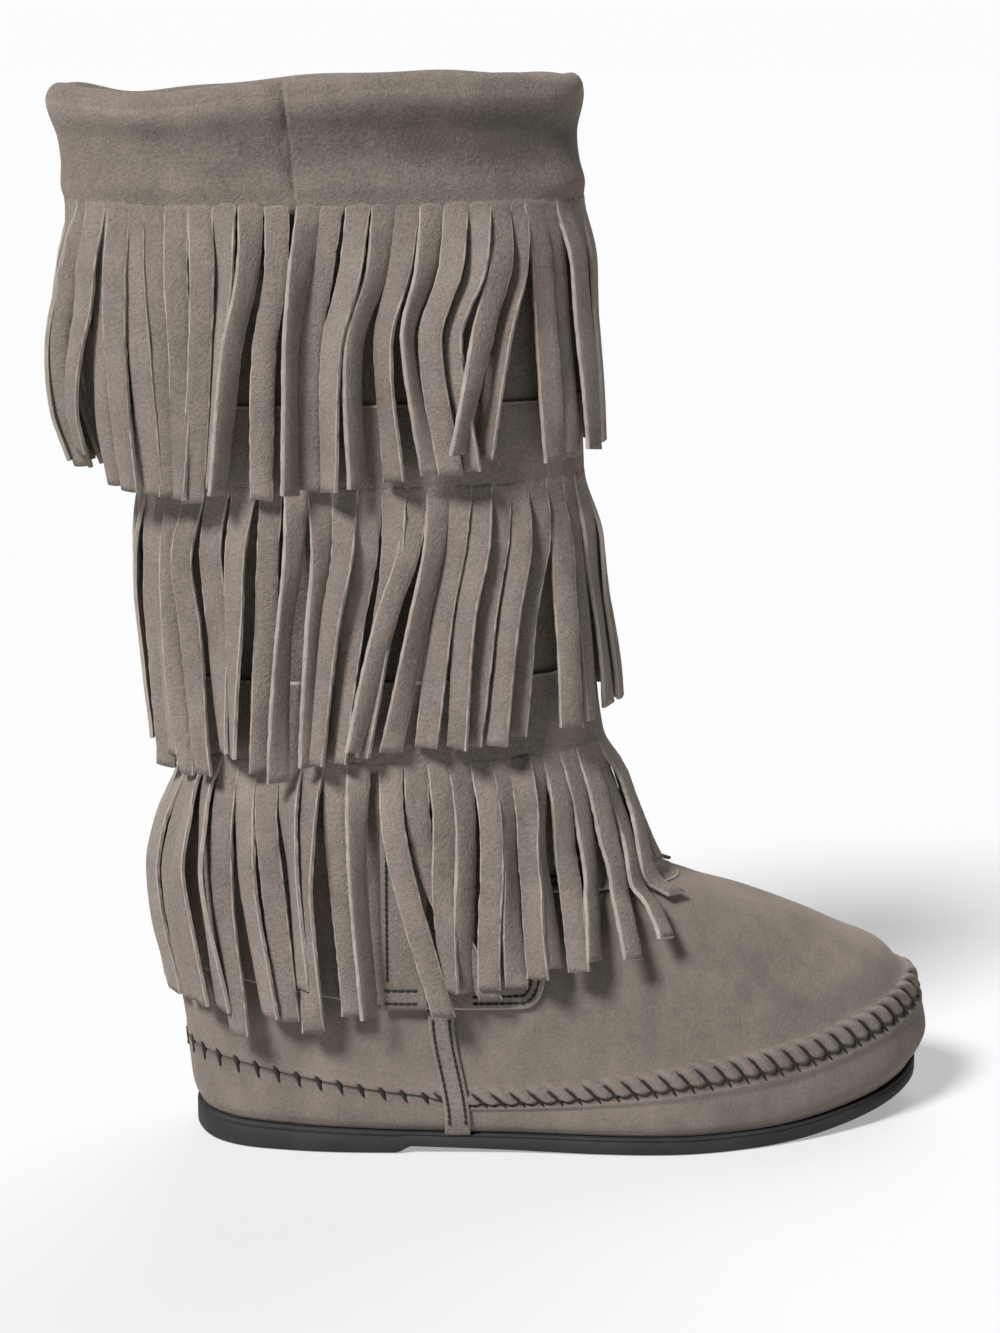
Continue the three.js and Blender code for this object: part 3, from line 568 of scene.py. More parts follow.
class Value:
    """A socket that can be used in Python arithmetic."""

    def __init__(self, shader, socket):
        self.shader = shader
        self.socket = socket

    def maths(self, operation, first, second=None, clamp=False):
        settings = {"operation": operation, "use_clamp": clamp}
        inputs = {"n0": first} if second is None else {"n0": first, "n1": second}
        return Value(self.shader, self.shader.node("ShaderNodeMath", settings, **inputs).outputs[0])

    def __add__(self, other):
        return self.maths("ADD", self, other)

    __radd__ = __add__

    def __mul__(self, other):
        return self.maths("MULTIPLY", self, other)

    __rmul__ = __mul__

    def __sub__(self, other):
        return self.maths("SUBTRACT", self, other)

    def __rsub__(self, other):
        return self.maths("SUBTRACT", other, self)

    def between(self, low, high):
        """0 below low, 1 above high and even between."""
        return self.maths("MULTIPLY", self - low, 1 / (high - low), clamp=True)

    def clamp(self):
        return self.maths("ADD", self, 0, clamp=True)


def shade(colour, factor):
    return tuple(min(1, channel * factor) for channel in colour)


def suede(name, colour, tone=1.0, rough=1.0):
    """Brushed suede: cloudy patches, streaks and a fine nap, which is lower where it is rubbed."""
    shader = Shader(name)
    cloud = shader.noise(26, 3, 0.5, distortion=0.6)
    patches = shader.noise(90, 4, 0.6)
    nap = shader.noise(1500, 3, 0.7)
    fleck = shader.noise(820, 3, 0.65)
    streak = shader.noise(160, 3, 0.6, stretch=(1, 1, 0.35))
    grain = nap.between(0.35, 0.65) * 0.24 + fleck.between(0.35, 0.65) * 0.26 - 0.05
    depth = cloud.between(0.25, 0.75) * 0.34 + patches.between(0.3, 0.7) * 0.22
    depth = depth + streak.between(0.3, 0.7) * 0.12 + grain * rough
    # the tone attribute holds each piece's own tone, and the painted shade and highlights set on the shaft,
    # bands, cuff and foot
    depth = (depth + shader.attribute("tone") * 0.5).clamp()
    return shader.finish(
        shader.shades(depth, colour, 0.50 * tone, 1.42 * tone),
        0.9 + nap * 0.08,
        nap * 0.5 + fleck * 0.5 + patches * 0.4,
        strength=min(1, 0.85 * rough),
        distance=0.0012,
        Sheen_Weight=0.25,
        Sheen_Roughness=0.45,
        Sheen_Tint=shade(colour, 2.2),
        Specular_IOR_Level=0.12,
    )


def cut_edge(colour):
    """The raw cut edge of the suede, lighter and fibrous."""
    shader = Shader("cut_edge")
    fibre = shader.noise(1100, 4, 0.7, stretch=(1, 1, 0.5))
    patches = shader.noise(120, 3, 0.6)
    tint = shader.shades(fibre * 0.6 + patches.between(0.3, 0.7) * 0.4, colour, 0.62, 1.25)
    return shader.finish(tint, 0.93, fibre, strength=0.6, Specular_IOR_Level=0.1)


def sole_rubber(colour):
    """Matt moulded rubber with dust in its grain."""
    shader = Shader("sole_rubber")
    grain = shader.noise(1300, 3, 0.6)
    dust = shader.noise(55, 4, 0.65)
    tint = shader.shades((dust.between(0.42, 0.8) * 0.6 + grain * 0.3).clamp(), colour, 1, 2.6)
    roughness = 0.62 + grain * 0.15
    return shader.finish(tint, roughness, grain, strength=0.35, distance=0.0004, Specular_IOR_Level=0.35)


def seam_thread(colour):
    """Waxed thread with a fine twist."""
    shader = Shader("seam_thread")
    twist = shader.noise(1800, 2, 0.5)
    tint = shader.shades(twist, colour, 0.6, 1.9)
    return shader.finish(tint, 0.7, twist, distance=0.0002, Specular_IOR_Level=0.3)


def raw_back(colour):
    """The unlined back of the leather, and the insole."""
    shader = Shader("raw_back")
    fibre = shader.noise(700, 4, 0.7)
    patches = shader.noise(40, 3, 0.6)
    tint = shader.shades(fibre * 0.5 + patches * 0.5, colour, 0.7, 1.3)
    return shader.finish(tint, 0.95, fibre, Specular_IOR_Level=0.1)


def studio_floor(colour):
    """A matt floor that glows a little, so its shadows stay pale."""
    shader = Shader("studio_floor")
    speck = shader.noise(300, 2, 0.5)
    return shader.finish(
        shader.shades(speck, colour, 1, 1.01),
        0.9,
        speck,
        strength=0.03,
        Emission_Color=(1, 1, 1),
        Emission_Strength=0.36,
        Specular_IOR_Level=0,
    )


MATERIALS = {}


def make_materials(colours):
    """Every finish, made once."""
    MATERIALS.update(
        suede=suede("suede", colours.suede),
        foot=suede("foot_suede", colours.suede, 0.99, 0.55),
        fringe=suede("fringe_suede", colours.suede, 1.02),
        edge=cut_edge(colours.edge),
        rubber=sole_rubber(colours.rubber),
        thread=seam_thread(colours.thread),
        back=raw_back(colours.lining),
        floor=studio_floor(colours.floor),
    )


class Batch:
    """Points and faces of one joined mesh."""

    def __init__(self):
        self.points = []
        self.faces = []
        self.marks = []
        self.tones = []
        self.crisp = []

    def grid(self, points, wrap_rows=False, wrap_columns=False, mark=0, tone=0.0, caps=None, crisp=None):
        """Quads between rows and columns of points. caps gives the material mark of the two end faces.
        Faces with the mark given as crisp, and the end faces, are shaded flat."""
        points = np.asarray(points, float)
        rows, columns = points.shape[:2]
        first = len(self.points)
        self.points.extend(points.reshape(-1, 3).tolist())
        self.tones.extend(np.broadcast_to(tone, (rows, columns)).ravel().tolist())
        marks = np.broadcast_to(mark, (rows, columns))
        for row in range(rows if wrap_rows else rows - 1):
            here = first + row * columns
            above = first + (row + 1) % rows * columns
            for column in range(columns if wrap_columns else columns - 1):
                after = (column + 1) % columns
                self.faces.append((here + column, here + after, above + after, above + column))
                self.marks.append(int(marks[row, column]))
                if marks[row, column] == crisp:
                    self.crisp.append(len(self.faces) - 1)
        if caps is not None:
            self.crisp.extend([len(self.faces), len(self.faces) + 1])
            last = first + (rows - 1) * columns
            self.faces.append(tuple(range(first + columns - 1, first - 1, -1)))
            self.faces.append(tuple(range(last, last + columns)))
            self.marks.extend([caps, caps])

    def tube(self, path, radius, sides=6, mark=0):
        """A round thread along a path, with one radius or one at each point of the path."""
        path = np.asarray(path, float)
        ahead = unit(np.gradient(path, axis=0))
        rest = np.where(np.abs(ahead[:, 2:3]) > 0.9, (1.0, 0, 0), (0, 0, 1.0))
        across = unit(np.cross(ahead, rest))
        up = np.cross(across, ahead)
        turns = np.arange(sides) / sides * 2 * math.pi
        ring = np.cos(turns)[None, :, None] * across[:, None] + np.sin(turns)[None, :, None] * up[:, None]
        self.grid(path[:, None] + ring * radius, wrap_columns=True, mark=mark, caps=mark)

    def build(self, name, materials, slot_name, replaces=()):
        """Makes the object, hangs it on the body and hides the solids that it replaces."""
        mesh = bpy.data.meshes.new(name)
        mesh.from_pydata(self.points, [], self.faces)
        for key in materials:
            mesh.materials.append(MATERIALS[key])
        mesh.polygons.foreach_set("material_index", self.marks)
        layer = mesh.attributes.new("tone", "FLOAT", "POINT")
        layer.data.foreach_set("value", np.array(self.tones, np.float32))
        working = bmesh.new()
        working.from_mesh(mesh)
        bmesh.ops.recalc_face_normals(working, faces=working.faces)
        working.to_mesh(mesh)
        working.free()
        smooth_faces = np.ones(len(mesh.polygons), bool)
        smooth_faces[self.crisp] = False
        mesh.polygons.foreach_set("use_smooth", smooth_faces)
        mesh.update()
        piece = add_object(name, mesh)
        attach(piece, "root")
        if replaces:
            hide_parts(*replaces)
        return piece


def the_form(context):
    return Form(context.scene.boot_sizes)


def add_object(name, data):
    piece = bpy.data.objects.new(name, data)
    bpy.context.scene.collection.objects.link(piece)
    return piece


def arc_lengths(form, level, out, count=1440):
    """Angles round a level and the distance along it from the back."""
    angles = np.linspace(0, 2 * math.pi, count + 1)
    points = form.skin(np.full(count + 1, float(level)), angles, out)
    steps = np.linalg.norm(np.diff(points, axis=0), axis=1)
    return angles, np.concatenate([[0], np.cumsum(steps)])


def is_front(angle):
    """0 on the plain heel part of the seam and 1 on its gathered front."""
    along = (1 - np.cos(angle)) / 2
    return smooth(0.3, 0.36, along)


# The whipped seam: distance between its stitches round the heel and round the toe, slope of the
# gathers, how far the seam drops from its level round the toe, and the sizes of its relief.
HEEL_PITCH = 0.0072
TOE_PITCH = 0.0063
GATHER_LEAN = 0.5
TOE_SEAM_DROP = 0.0034
GATHER_HEIGHT = 0.0025
GATHER_SINK = 0.0008
RIDGE_HEIGHT = 0.0008
TOE_GROOVE = 0.0012
HEEL_GROOVE = 0.0007
HEEL_SWELL = 0.0004
SLIT_DEPTH = 0.0013
TREAD_IN = 0.0006


def foot_relief(level, angle, length):
    """How far the foot's leather stands out: the gathers, the seam and its slits."""
    front = is_front(angle)
    rise = (level - SEAM_LEVEL) * LEVEL_HEIGHT + TOE_SEAM_DROP * front
    groove = bump(rise, 0.0011)
    turn = 2 * math.pi * (length + GATHER_LEAN * rise) / TOE_PITCH
    gather = (0.5 + 0.5 * np.cos(turn)) ** 0.6
    above = smooth(-0.0014, 0.0010, rise) * (1 - smooth(0.0035, 0.0125, rise))
    below = bump(rise + 0.0012, 0.0018)
    gathered = above * (gather * GATHER_HEIGHT - GATHER_SINK) + below * RIDGE_HEIGHT - groove * TOE_GROOVE
    from_slit = np.abs((length / HEEL_PITCH) % 1 - 0.5) * HEEL_PITCH
    slit = bump(from_slit, 0.0012) * bump(rise, 0.0034)
    plain = bump(rise, 0.007) * HEEL_SWELL - groove * HEEL_GROOVE - slit * SLIT_DEPTH
    return front * gathered + (1 - front) * plain - TREAD_IN * (1 - smooth(0.1, 0.6, level))


def crease_relief(points, depth):
    """Soft troughs and ridges of the shaft, by side, place and slope."""
    relief = np.zeros(points.shape[:-1])
    for side, x, z, length, width, crease, slope in SHAFT_CREASES:
        lean = math.radians(slope)
        dx = points[..., 0] - x * MM
        dz = points[..., 2] - z * MM
        along = dx * math.cos(lean) + dz * math.sin(lean)
        across = -dx * math.sin(lean) + dz * math.cos(lean)
        hump = bump(along, length * MM / 2) * bump(across, width * MM)
        on_side = smooth(-0.004, 0.004, side * points[..., 1])
        relief -= hump * on_side * crease * MM * depth
    return relief


class BOOT_OT_sole(bpy.types.Operator):
    """Makes the moulded sole and finishes the insole"""

    bl_idname = "boot.sole"
    bl_label = "Sole and insole"

    lip = 0.0009
    sides = 420
    # share of the height from underside to top, inset from the lip
    profile = [
        [0, 0.030],
        [0, 0.004],
        [0, 0.0013],
        [0.04, 0.0006],
        [0.12, 0.0001],
        [0.2, 0],
        [0.78, 0],
        [0.82, 0.0004],
        [0.86, 0],
        [0.95, 0.0001],
        [1, 0.0006],
        [1, 0.004],
        [1, 0.030],
    ]

    def outline(self, form, inset):
        angles = np.linspace(0, 2 * math.pi, self.sides, endpoint=False)
        edge = form.point(np.zeros(self.sides), angles)
        ahead = np.roll(edge, -1, 0) - np.roll(edge, 1, 0)
        normal = unit(np.stack([ahead[:, 1], -ahead[:, 0]], -1))
        return edge[:, :2] + normal * (self.lip - inset)

    def close(self, batch, first):
        """Strips of faces across the flat ring of points that starts at a point."""
        ring = first + np.arange(self.sides)
        for step in range(self.sides // 2 - 1):
            corners = (ring[step], ring[step + 1], ring[-step - 2], ring[(-step - 1) % self.sides])
            batch.faces.append(tuple(int(corner) for corner in corners))
            batch.marks.append(0)

    def execute(self, context):
        form = the_form(context)
        rows = []
        for share, inset in self.profile:
            flat = self.outline(form, inset)
            height = mix(form.sole_bottom(flat[:, 0]), form.sole_top(flat[:, 0]), share)
            rows.append(np.column_stack([flat, height]))
        batch = Batch()
        batch.grid(rows, wrap_columns=True)
        self.close(batch, 0)
        self.close(batch, (len(rows) - 1) * self.sides)
        batch.build("outsole_moulded", ["rubber"], "sole_rubber", replaces=["outsole"])
        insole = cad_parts["insole"]
        insole.data.materials.clear()
        insole.data.materials.append(MATERIALS["back"])
        return {"FINISHED"}


class BOOT_OT_foot(bpy.types.Operator):
    """Makes the foot's suede with its gathered seam"""

    bl_idname = "boot.foot"
    bl_label = "Foot"

    columns = 560
    wall = 0.0019
    top_level = 8.9

    def execute(self, context):
        form = the_form(context)
        angles = np.linspace(0, 2 * math.pi, self.columns, endpoint=False)
        seam_angles, lengths = arc_lengths(form, SEAM_LEVEL, 0)
        length = np.interp(angles, seam_angles, lengths)
        length = np.minimum(length, lengths[-1] - length)
        outer = np.concatenate(
            [np.linspace(0, 1.3, 9), np.linspace(1.36, 3.3, 58), np.linspace(3.5, self.top_level, 44)]
        )
        inner = np.linspace(self.top_level, 0, 22)
        level = np.concatenate([outer, inner])[:, None]
        level, angle = np.broadcast_arrays(level, angles[None, :])
        relief = foot_relief(level, angle, length[None, :])
        inside = np.arange(len(level))[:, None] >= len(outer)
        out = np.where(inside, -self.wall, relief)
        batch = Batch()
        mark = np.where(inside, 1, 0)
        tone = self.wear_and_painted_shade(form, level, angle)
        batch.grid(form.skin(level, angle, out), wrap_rows=True, wrap_columns=True, mark=mark, tone=tone)
        batch.build("foot_suede", ["foot", "back"], "suede", replaces=["foot_upper"])
        return {"FINISHED"}

    def wear_and_painted_shade(self, form, level, angle):
        """Lighter where the toe rubs, darker in the seam, and painted shade that darkens the upper foot,
        which faces the light more.
        """
        rise = (level - SEAM_LEVEL) * LEVEL_HEIGHT + TOE_SEAM_DROP * is_front(angle)
        seam = -1.3 * bump(rise, 0.0011) - 0.3 * bump(rise, 0.0030)
        return seam + 0.12 * smooth(0.75, 1, (1 - np.cos(angle)) / 2) - 0.15 * smooth(3, 6, level)


class BOOT_OT_shaft(bpy.types.Operator):
    """Makes the shaft with its creases and its lapped lower edge"""

    bl_idname = "boot.shaft"
    bl_label = "Shaft"

    columns = 400
    inside = 0.0003
    outside = 0.0020
    # levels between the shaft's top and the collar, and how much thinner the lap is over the instep
    below_collar = 0.12
    instep_thinning = 0.0013
    # painted shade: how much darker the shaft is painted behind the fringe rows
    painted_shade_under_fringe = 0.75

    def rows(self):
        """Share of the way from the lower edge to the collar, distance out and material."""
        rows = [[0.0, self.inside, 1], [0.0, self.inside, 1], [0.0, self.outside - 0.0004, 1]]
        shares = np.concatenate([np.linspace(0.004, 0.45, 90), np.linspace(0.46, 1, 70)])
        rows += [[share, self.outside, 0] for share in shares]
        rows += [[share, self.inside, 2] for share in np.linspace(1, 0.02, 30)]
        return (np.array(column)[:, None] for column in zip(*rows))

    def execute(self, context):
        form = the_form(context)
        share, out, mark = self.rows()
        angles = np.linspace(0, 2 * math.pi, self.columns, endpoint=False)
        low = lap_level(angles)[None, :]
        level = low + (COLLAR_LEVEL - self.below_collar - low) * share
        angle = np.broadcast_to(angles, level.shape)
        flat = form.point(level, angle)
        relief = crease_relief(flat, context.scene.boot_sizes.crease_depth)
        instep = smooth(0.80, 0.95, (1 - np.cos(angle)) / 2) * (1 - smooth(0.0, 0.12, share))
        out = np.maximum(out - self.instep_thinning * instep, self.inside)
        points = form.skin(level, angle, out + relief * smooth(0, 0.05, share))
        # the sine varies the tone round the boot; the relief term is painted shade in the creases and
        # painted light on the ridges
        tone = 0.08 * np.sin(angle * 3) + 0.06 * relief / MM
        # painted shade: the shaft is darker above 0.13 m, behind the fringe rows, where the strips' shadow
        # falls
        tone = tone - self.painted_shade_under_fringe * smooth(0.10, 0.13, flat[..., 2])
        batch = Batch()
        batch.grid(points, wrap_rows=True, wrap_columns=True, mark=mark, tone=tone)
        batch.build("shaft_suede", ["suede", "edge", "back"], "suede", replaces=["shaft"])
        return {"FINISHED"}


def strap_centre(height):
    """The foot strap leans forward towards the sole."""
    return mix(0.0525, 0.047, smooth(0.010, 0.050, height))


def strip_centre(height):
    """The side strip hangs straight."""
    return np.full(np.shape(height), 0.035)


class BOOT_OT_straps(bpy.types.Operator):
    """Makes the side strips of the shaft and the foot straps"""

    bl_idname = "boot.straps"
    bl_label = "Straps"

    rows = 40
    # across a strap: share of its width, and how far under its face, None for its underside
    ring = [[-0.5, None], [-0.5, 0.0003], [-0.47, 0]]
    ring += [[share, 0] for share in np.linspace(-0.4, 0.4, 10)]
    ring += [[0.47, 0], [0.5, 0.0003], [0.5, None]]
    # piece, solid that it replaces, centre line, width, underside, face, and heights added at its ends
    pieces = [
        ["foot_strap_", "strap_", strap_centre, 0.0085, 0.0002, 0.0015, 0.001, 0],
        ["shaft_strip_", "side_strip_", strip_centre, 0.015, 0.0021, 0.0034, 0, 0.03],
    ]

    def strap(self, form, side, heights, centre, width, underside, face):
        """A flat strap sewn on the skin."""
        outs = np.array([underside if under is None else face - under for _, under in self.ring])
        across = np.array([place for place, _ in self.ring]) * width
        x = centre(heights)[:, None] + across
        z = np.broadcast_to(heights[:, None], x.shape)
        mark = np.zeros(len(outs), int)
        mark[[0, -3, -2]] = 1
        batch = Batch()
        points = form.on_skin(x, z, side, np.broadcast_to(outs, x.shape))
        batch.grid(points, wrap_columns=True, mark=mark, caps=1)
        return batch

    def execute(self, context):
        form = the_form(context)
        for side, word in SIDES:
            for name, solid, centre, width, underside, face, below, above in self.pieces:
                low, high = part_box(solid + word)
                heights = np.linspace(low.z + below, high.z + above, self.rows)
                piece = self.strap(form, side, heights, centre, width, underside, face)
                piece.build(name + word, ["suede", "edge"], "suede", replaces=[solid + word])
        return {"FINISHED"}


class BOOT_OT_cuff(bpy.types.Operator):
    """Makes the folded cuff and the two bands that carry the lower rows"""

    bl_idname = "boot.cuff"
    bl_label = "Cuff and bands"

    columns = 960
    # distances out of the cuff's outer face, of its face inside the boot, and the least of the outer one
    face = 0.0052
    inner_face = -0.0015
    least_out = 0.0027
    # height of the roll at the top, and where the boot's surface ends and the cuff goes straight up
    roll = 0.0055
    surface_top = 0.3495
    # the seam: turn from the back in degrees, width of its dip in degrees, and depth
    seam_turn = 82.6
    seam_width = 6
    seam_depth = 0.0019
    band_height = 0.027

    def seam_dip(self, angle):
        """1 at the seam, where the rear panel dips under the front one, fading towards the back."""
        dip = np.zeros(angle.shape)
        for turn, way in ((self.seam_turn, 1), (360 - self.seam_turn, -1)):
            past = (np.degrees(angle) - turn) * way
            dip += np.clip(1 + past / self.seam_width, 0, 1) ** 3 * (1 - smooth(0, 0.5, past))
        return dip

    def folds(self, angle):
        relief = -self.seam_depth * self.seam_dip(angle)
        for turn, width, depth in CUFF_FOLDS:
            away = np.abs((np.degrees(angle) - turn + 180) % 360 - 180)
            relief -= bump(away, width * 1.7) * depth * MM
        return relief

    def spread(self, section):
        """Heights and distances out of a section, and the angle of each of its points round the boot."""
        heights, outs = (np.array(column)[:, None] for column in zip(*section))
        angles = np.linspace(0, 2 * math.pi, self.columns, endpoint=False)
        return heights, outs, np.broadcast_to(angles, (len(section), self.columns))

    def cuff(self, form, slit):
        # height and distance out: up the outer face, round the top, down inside, and back in the fold
        edge = CUFF_TOP_Z - 0.0012 - self.roll
        section = [[slit - 0.0030, 0.0034], [slit - 0.0022, 0.0042], [slit - 0.0012, 0.0048]]
        first_face = len(section)
        section += [[height, self.face] for height in np.linspace(slit, edge, 30)]
        last_face = len(section) - 1
        for turn in np.linspace(0.15, math.pi, 12):
            out = mix(self.inner_face, self.face, (1 + math.cos(turn)) / 2)
            section.append([edge + self.roll * math.sin(turn), out])
        last_roll = len(section)
        section += [[height, -0.0014] for height in np.linspace(0.348, 0.338, 5)]
        section += [[0.3375, -0.0009], [0.338, -0.0001]]
        hem = len(section)
        section += [[height, -0.0001] for height in np.linspace(0.342, 0.3505, 4)]
        section += [[0.3512, 0.0012], [0.3495, 0.0023]]
        section += [[height, 0.0023] for height in np.linspace(0.344, slit - 0.002, 8)]
        heights, outs, place = self.spread(section)

        turn = np.degrees(np.minimum(place, 2 * math.pi - place))
        turns, *columns = zip(*CUFF_EDGE)
        rise, depth, middle = (curve(turns, values, turn) * MM for values in columns)
        over_slit = heights - slit
        outer = np.arange(len(section))[:, None] <= last_face
        trough = depth * bump(over_slit - middle, 0.0140) - 0.0006 * bump(over_slit - 0.005, 0.008)
        rolled = 0.85 * depth * bump(over_slit - 0.0305, 0.0100)
        relief = (self.folds(place) - trough + rolled) * smooth(0, 0.006, over_slit)
        out = outs + np.where(outer, relief, 0)
        out[first_face:last_face] = np.maximum(out[first_face:last_face], self.least_out)
        inwards = (outs[last_face:last_roll] - self.inner_face) / (self.face - self.inner_face)
        out[last_face:last_roll] = mix(self.inner_face, out[last_face], inwards)

        reached = np.minimum(heights, self.surface_top)
        points = form.skin(form.level_at(reached, place), place, out)
        wave = 0.0003 * np.sin(place * 11)
        points[..., 2] += heights - reached + (rise + wave) * smooth(0.325, 0.352, heights)
        # Painted light and shade on the cuff: darker in its troughs and folds and lighter where it stands
        # out, a painted highlight along the roll at the top, a painted shadow under the roll that grows
        # towards the front, painted shade in the seam's dip, and all a little darker.
        shadow = smooth(58, 120, turn) * (1 - 0.5 * smooth(165, 180, turn)) * bump(over_slit - 0.020, 0.019)
        tone = 0.04 * relief / MM + 0.70 * smooth(0.340, 0.352, heights) - 0.80 * shadow - 0.12
        tone = (tone - 0.7 * self.seam_dip(place) ** 3) * outer
        mark = np.zeros(place.shape, int)
        mark[hem - 3 : hem] = 1
        batch = Batch()
        batch.grid(points, wrap_rows=True, wrap_columns=True, mark=mark, tone=tone)
        return batch

    def band(self, form, slit):
        top = slit + self.band_height
        section = [[slit - 0.003, 0.0024], [slit - 0.003, 0.0028], [slit - 0.0015, 0.0036]]
        section += [[height, 0.0039] for height in np.linspace(slit, top - 0.0008, 10)]
        section += [[top, 0.0036], [top, 0.0024]]
        heights, outs, place = self.spread(section)
        mark = np.zeros(place.shape, int)
        mark[-3:] = 1
        points = form.skin(form.level_at(heights, place), place, outs)
        batch = Batch()
        # tone -0.3 is painted shade on the band, which the strips hang over
        batch.grid(points, wrap_rows=True, wrap_columns=True, mark=mark, tone=-0.3)
        return batch

    def execute(self, context):
        form = the_form(context)
        slits = {name: slit for name, slit, *_ in FRINGE_ROWS}
        piece = self.cuff(form, slits.pop("upper"))
        piece.build("cuff_fold", ["suede", "edge"], "suede", replaces=["cuff_fringe"])
        for name, slit in slits.items():
            piece = self.band(form, slit)
            piece.build(name + "_band", ["suede", "edge"], "suede", replaces=[name + "_fringe"])
        return {"FINISHED"}


class BOOT_OT_fringe(bpy.types.Operator):
    """Makes the three rows of fringe strips"""

    bl_idname = "boot.fringe"
    bl_label = "Fringe"

    steps = 36
    # distances out for each layer and for a strip that hangs free, and how far its top is tucked in
    layer_step = 0.0017
    stand_off = 0.0018
    tuck = 0.0014
    # width seen of a strip that lies flat, in millimetres, and how much less the inner side's ends hang off
    flat_width = 8
    inner_hang = 0.6
    # width that the slits take, and how uneven the cut edges are
    slit_width = 0.0004
    ragged = 0.00016
    # cross-section of a strip: share of the width, share of the thickness, material
    section = [
        [-0.5, -0.35, 1],
        [-0.5, 0.35, 1],
        [-0.45, 0.5, 0],
        [-0.2, 0.56, 0],
        [0.2, 0.56, 0],
        [0.45, 0.5, 1],
        [0.5, 0.35, 1],
        [0.5, -0.35, 1],
        [0.45, -0.5, 0],
        [-0.45, -0.5, 0],
    ]

    def hang(self, form, side, turns, height, share):
        """The angle down a strip, even in x on the long sides and even in turn at the narrow ends."""
        places = [0, 0.25, 0.5, 1]
        angle = curve(places, turns, share)
        x = form.point(form.level_at(np.interp(places, share, height), turns), turns)[:, 0]
        straight = form.place(curve(places, x, share), height, side)[1]
        return mix(angle, straight, smooth(0.2, 0.5, np.abs(np.sin(turns)).min()))

    def facing(self, width_half, width_end, share, chance):
        """How far a strip turns away from flat, from the width that is seen, with a little sway."""
        flat = self.flat_width
        seen = curve([0, 0.25, 0.5, 1], [flat, (flat + width_half) / 2, width_half, width_end], share)
        facing = np.arccos(np.clip(seen / flat, 0.25, 1)) * chance.choice((-1, 1))
        sway = chance.uniform(-0.10, 0.10)
        sway = sway * np.sin(share * math.pi * chance.uniform(1.2, 2.4) + chance.uniform(0, 6))
        return (facing + sway * 1.6) * smooth(0, 0.12, share)

    def directions(self, form, level, angle, middle, facing):
        """Across and through the strip at each step down it."""
        across = form.point(level, angle + 0.02) - form.point(level, angle - 0.02)
        across[:, 2] = 0
        across = unit(across)
        down = unit(np.gradient(middle, axis=0))
        outward = unit(np.cross(down, across))
        outward *= np.sign(np.sum(outward * form.normal(level, angle), axis=1, keepdims=True))
        turned = across * np.cos(facing)[:, None] + outward * np.sin(facing)[:, None]
        through = np.cross(down, turned)
        through *= np.sign(np.sum(through * outward, axis=1, keepdims=True) + 1e-9)
        return turned, through

    def shape(self, sizes, middle, turned, through, share, chance):
        """The points round the strip at each step: uneven in width, a little curled, cut at a slant."""
        full = sizes.strip_width
        places, thick, _ = (np.array(column) for column in zip(*self.section))
        width = full * (1 + 0.03 * np.sin(share * 9 + chance.uniform(0, 6))) * chance.uniform(0.94, 1.0)
        width = np.minimum(width, full) - self.slit_width * smooth(0.01, 0.05, share)
        curl = chance.uniform(-0.0001, 0.0010) * smooth(0.1, 0.5, share)
        ragged = np.array([[chance.uniform(-self.ragged, self.ragged) for _ in places] for _ in share])
        sideways = places * width[:, None] + ragged
        rise = thick * sizes.strip_thickness + curl[:, None] * (1 - (places * 2) ** 2)
        points = middle[:, None] + turned[:, None] * sideways[..., None]
        points = points + through[:, None] * rise[..., None]
        points[-1, :, 2] += chance.uniform(-0.12, 0.12) * places * full
        return points

    def strip(self, form, batch, sizes, side, slit, base, row, chance):
        """One strip, from its slit down to its cut end."""
        top, quarter, half, end, width_half, width_end, length, layer, hang = row
        share = np.linspace(0, 1, self.steps)
        if side == INNER:
            top, quarter, half, end = (360 - turn for turn in (top, quarter, half, end))
            hang *= self.inner_hang
            drift = chance.uniform(-3, 3)
            half, end = half + drift * 0.6, end + drift * 1.3
            length *= chance.uniform(0.97, 1.03)
        height = slit + self.tuck - length * MM * share
        angle = self.hang(form, side, np.radians([top, quarter, half, end]), height, share)
        facing = self.facing(width_half, width_end, share, chance)
        lift = layer * self.layer_step * smooth(0, 0.3, share)
        turned_out = 0.5 * sizes.strip_width * np.abs(np.sin(facing))
        loose = self.stand_off * smooth(0, 0.25, share) + hang * MM * smooth(0.15, 0.9, share)
        level = form.level_at(height, angle)
        middle = form.skin(level, angle, base + lift + turned_out * 0.8 + loose)
        middle[:, 2] = height
        turned, through = self.directions(form, level, angle, middle, facing)
        points = self.shape(sizes, middle, turned, through, share, chance)
        tone = chance.uniform(-0.22, 0.22) + 0.10 * np.sin(share * 5 + chance.uniform(0, 6))
        marks = [mark for _, _, mark in self.section]
        batch.grid(points, wrap_columns=True, mark=marks, tone=tone[:, None], caps=1, crisp=1)

    def execute(self, context):
        form = the_form(context)
        sizes = context.scene.boot_sizes
        chance = random.Random(11)
        for word, slit, base, strips in FRINGE_ROWS:
            batch = Batch()
            for side, _ in SIDES:
                for row in strips:
                    self.strip(form, batch, sizes, side, slit, base, row, chance)
            batch.build(word + "_strips", ["fringe", "edge"], "fringe_suede")
        return {"FINISHED"}


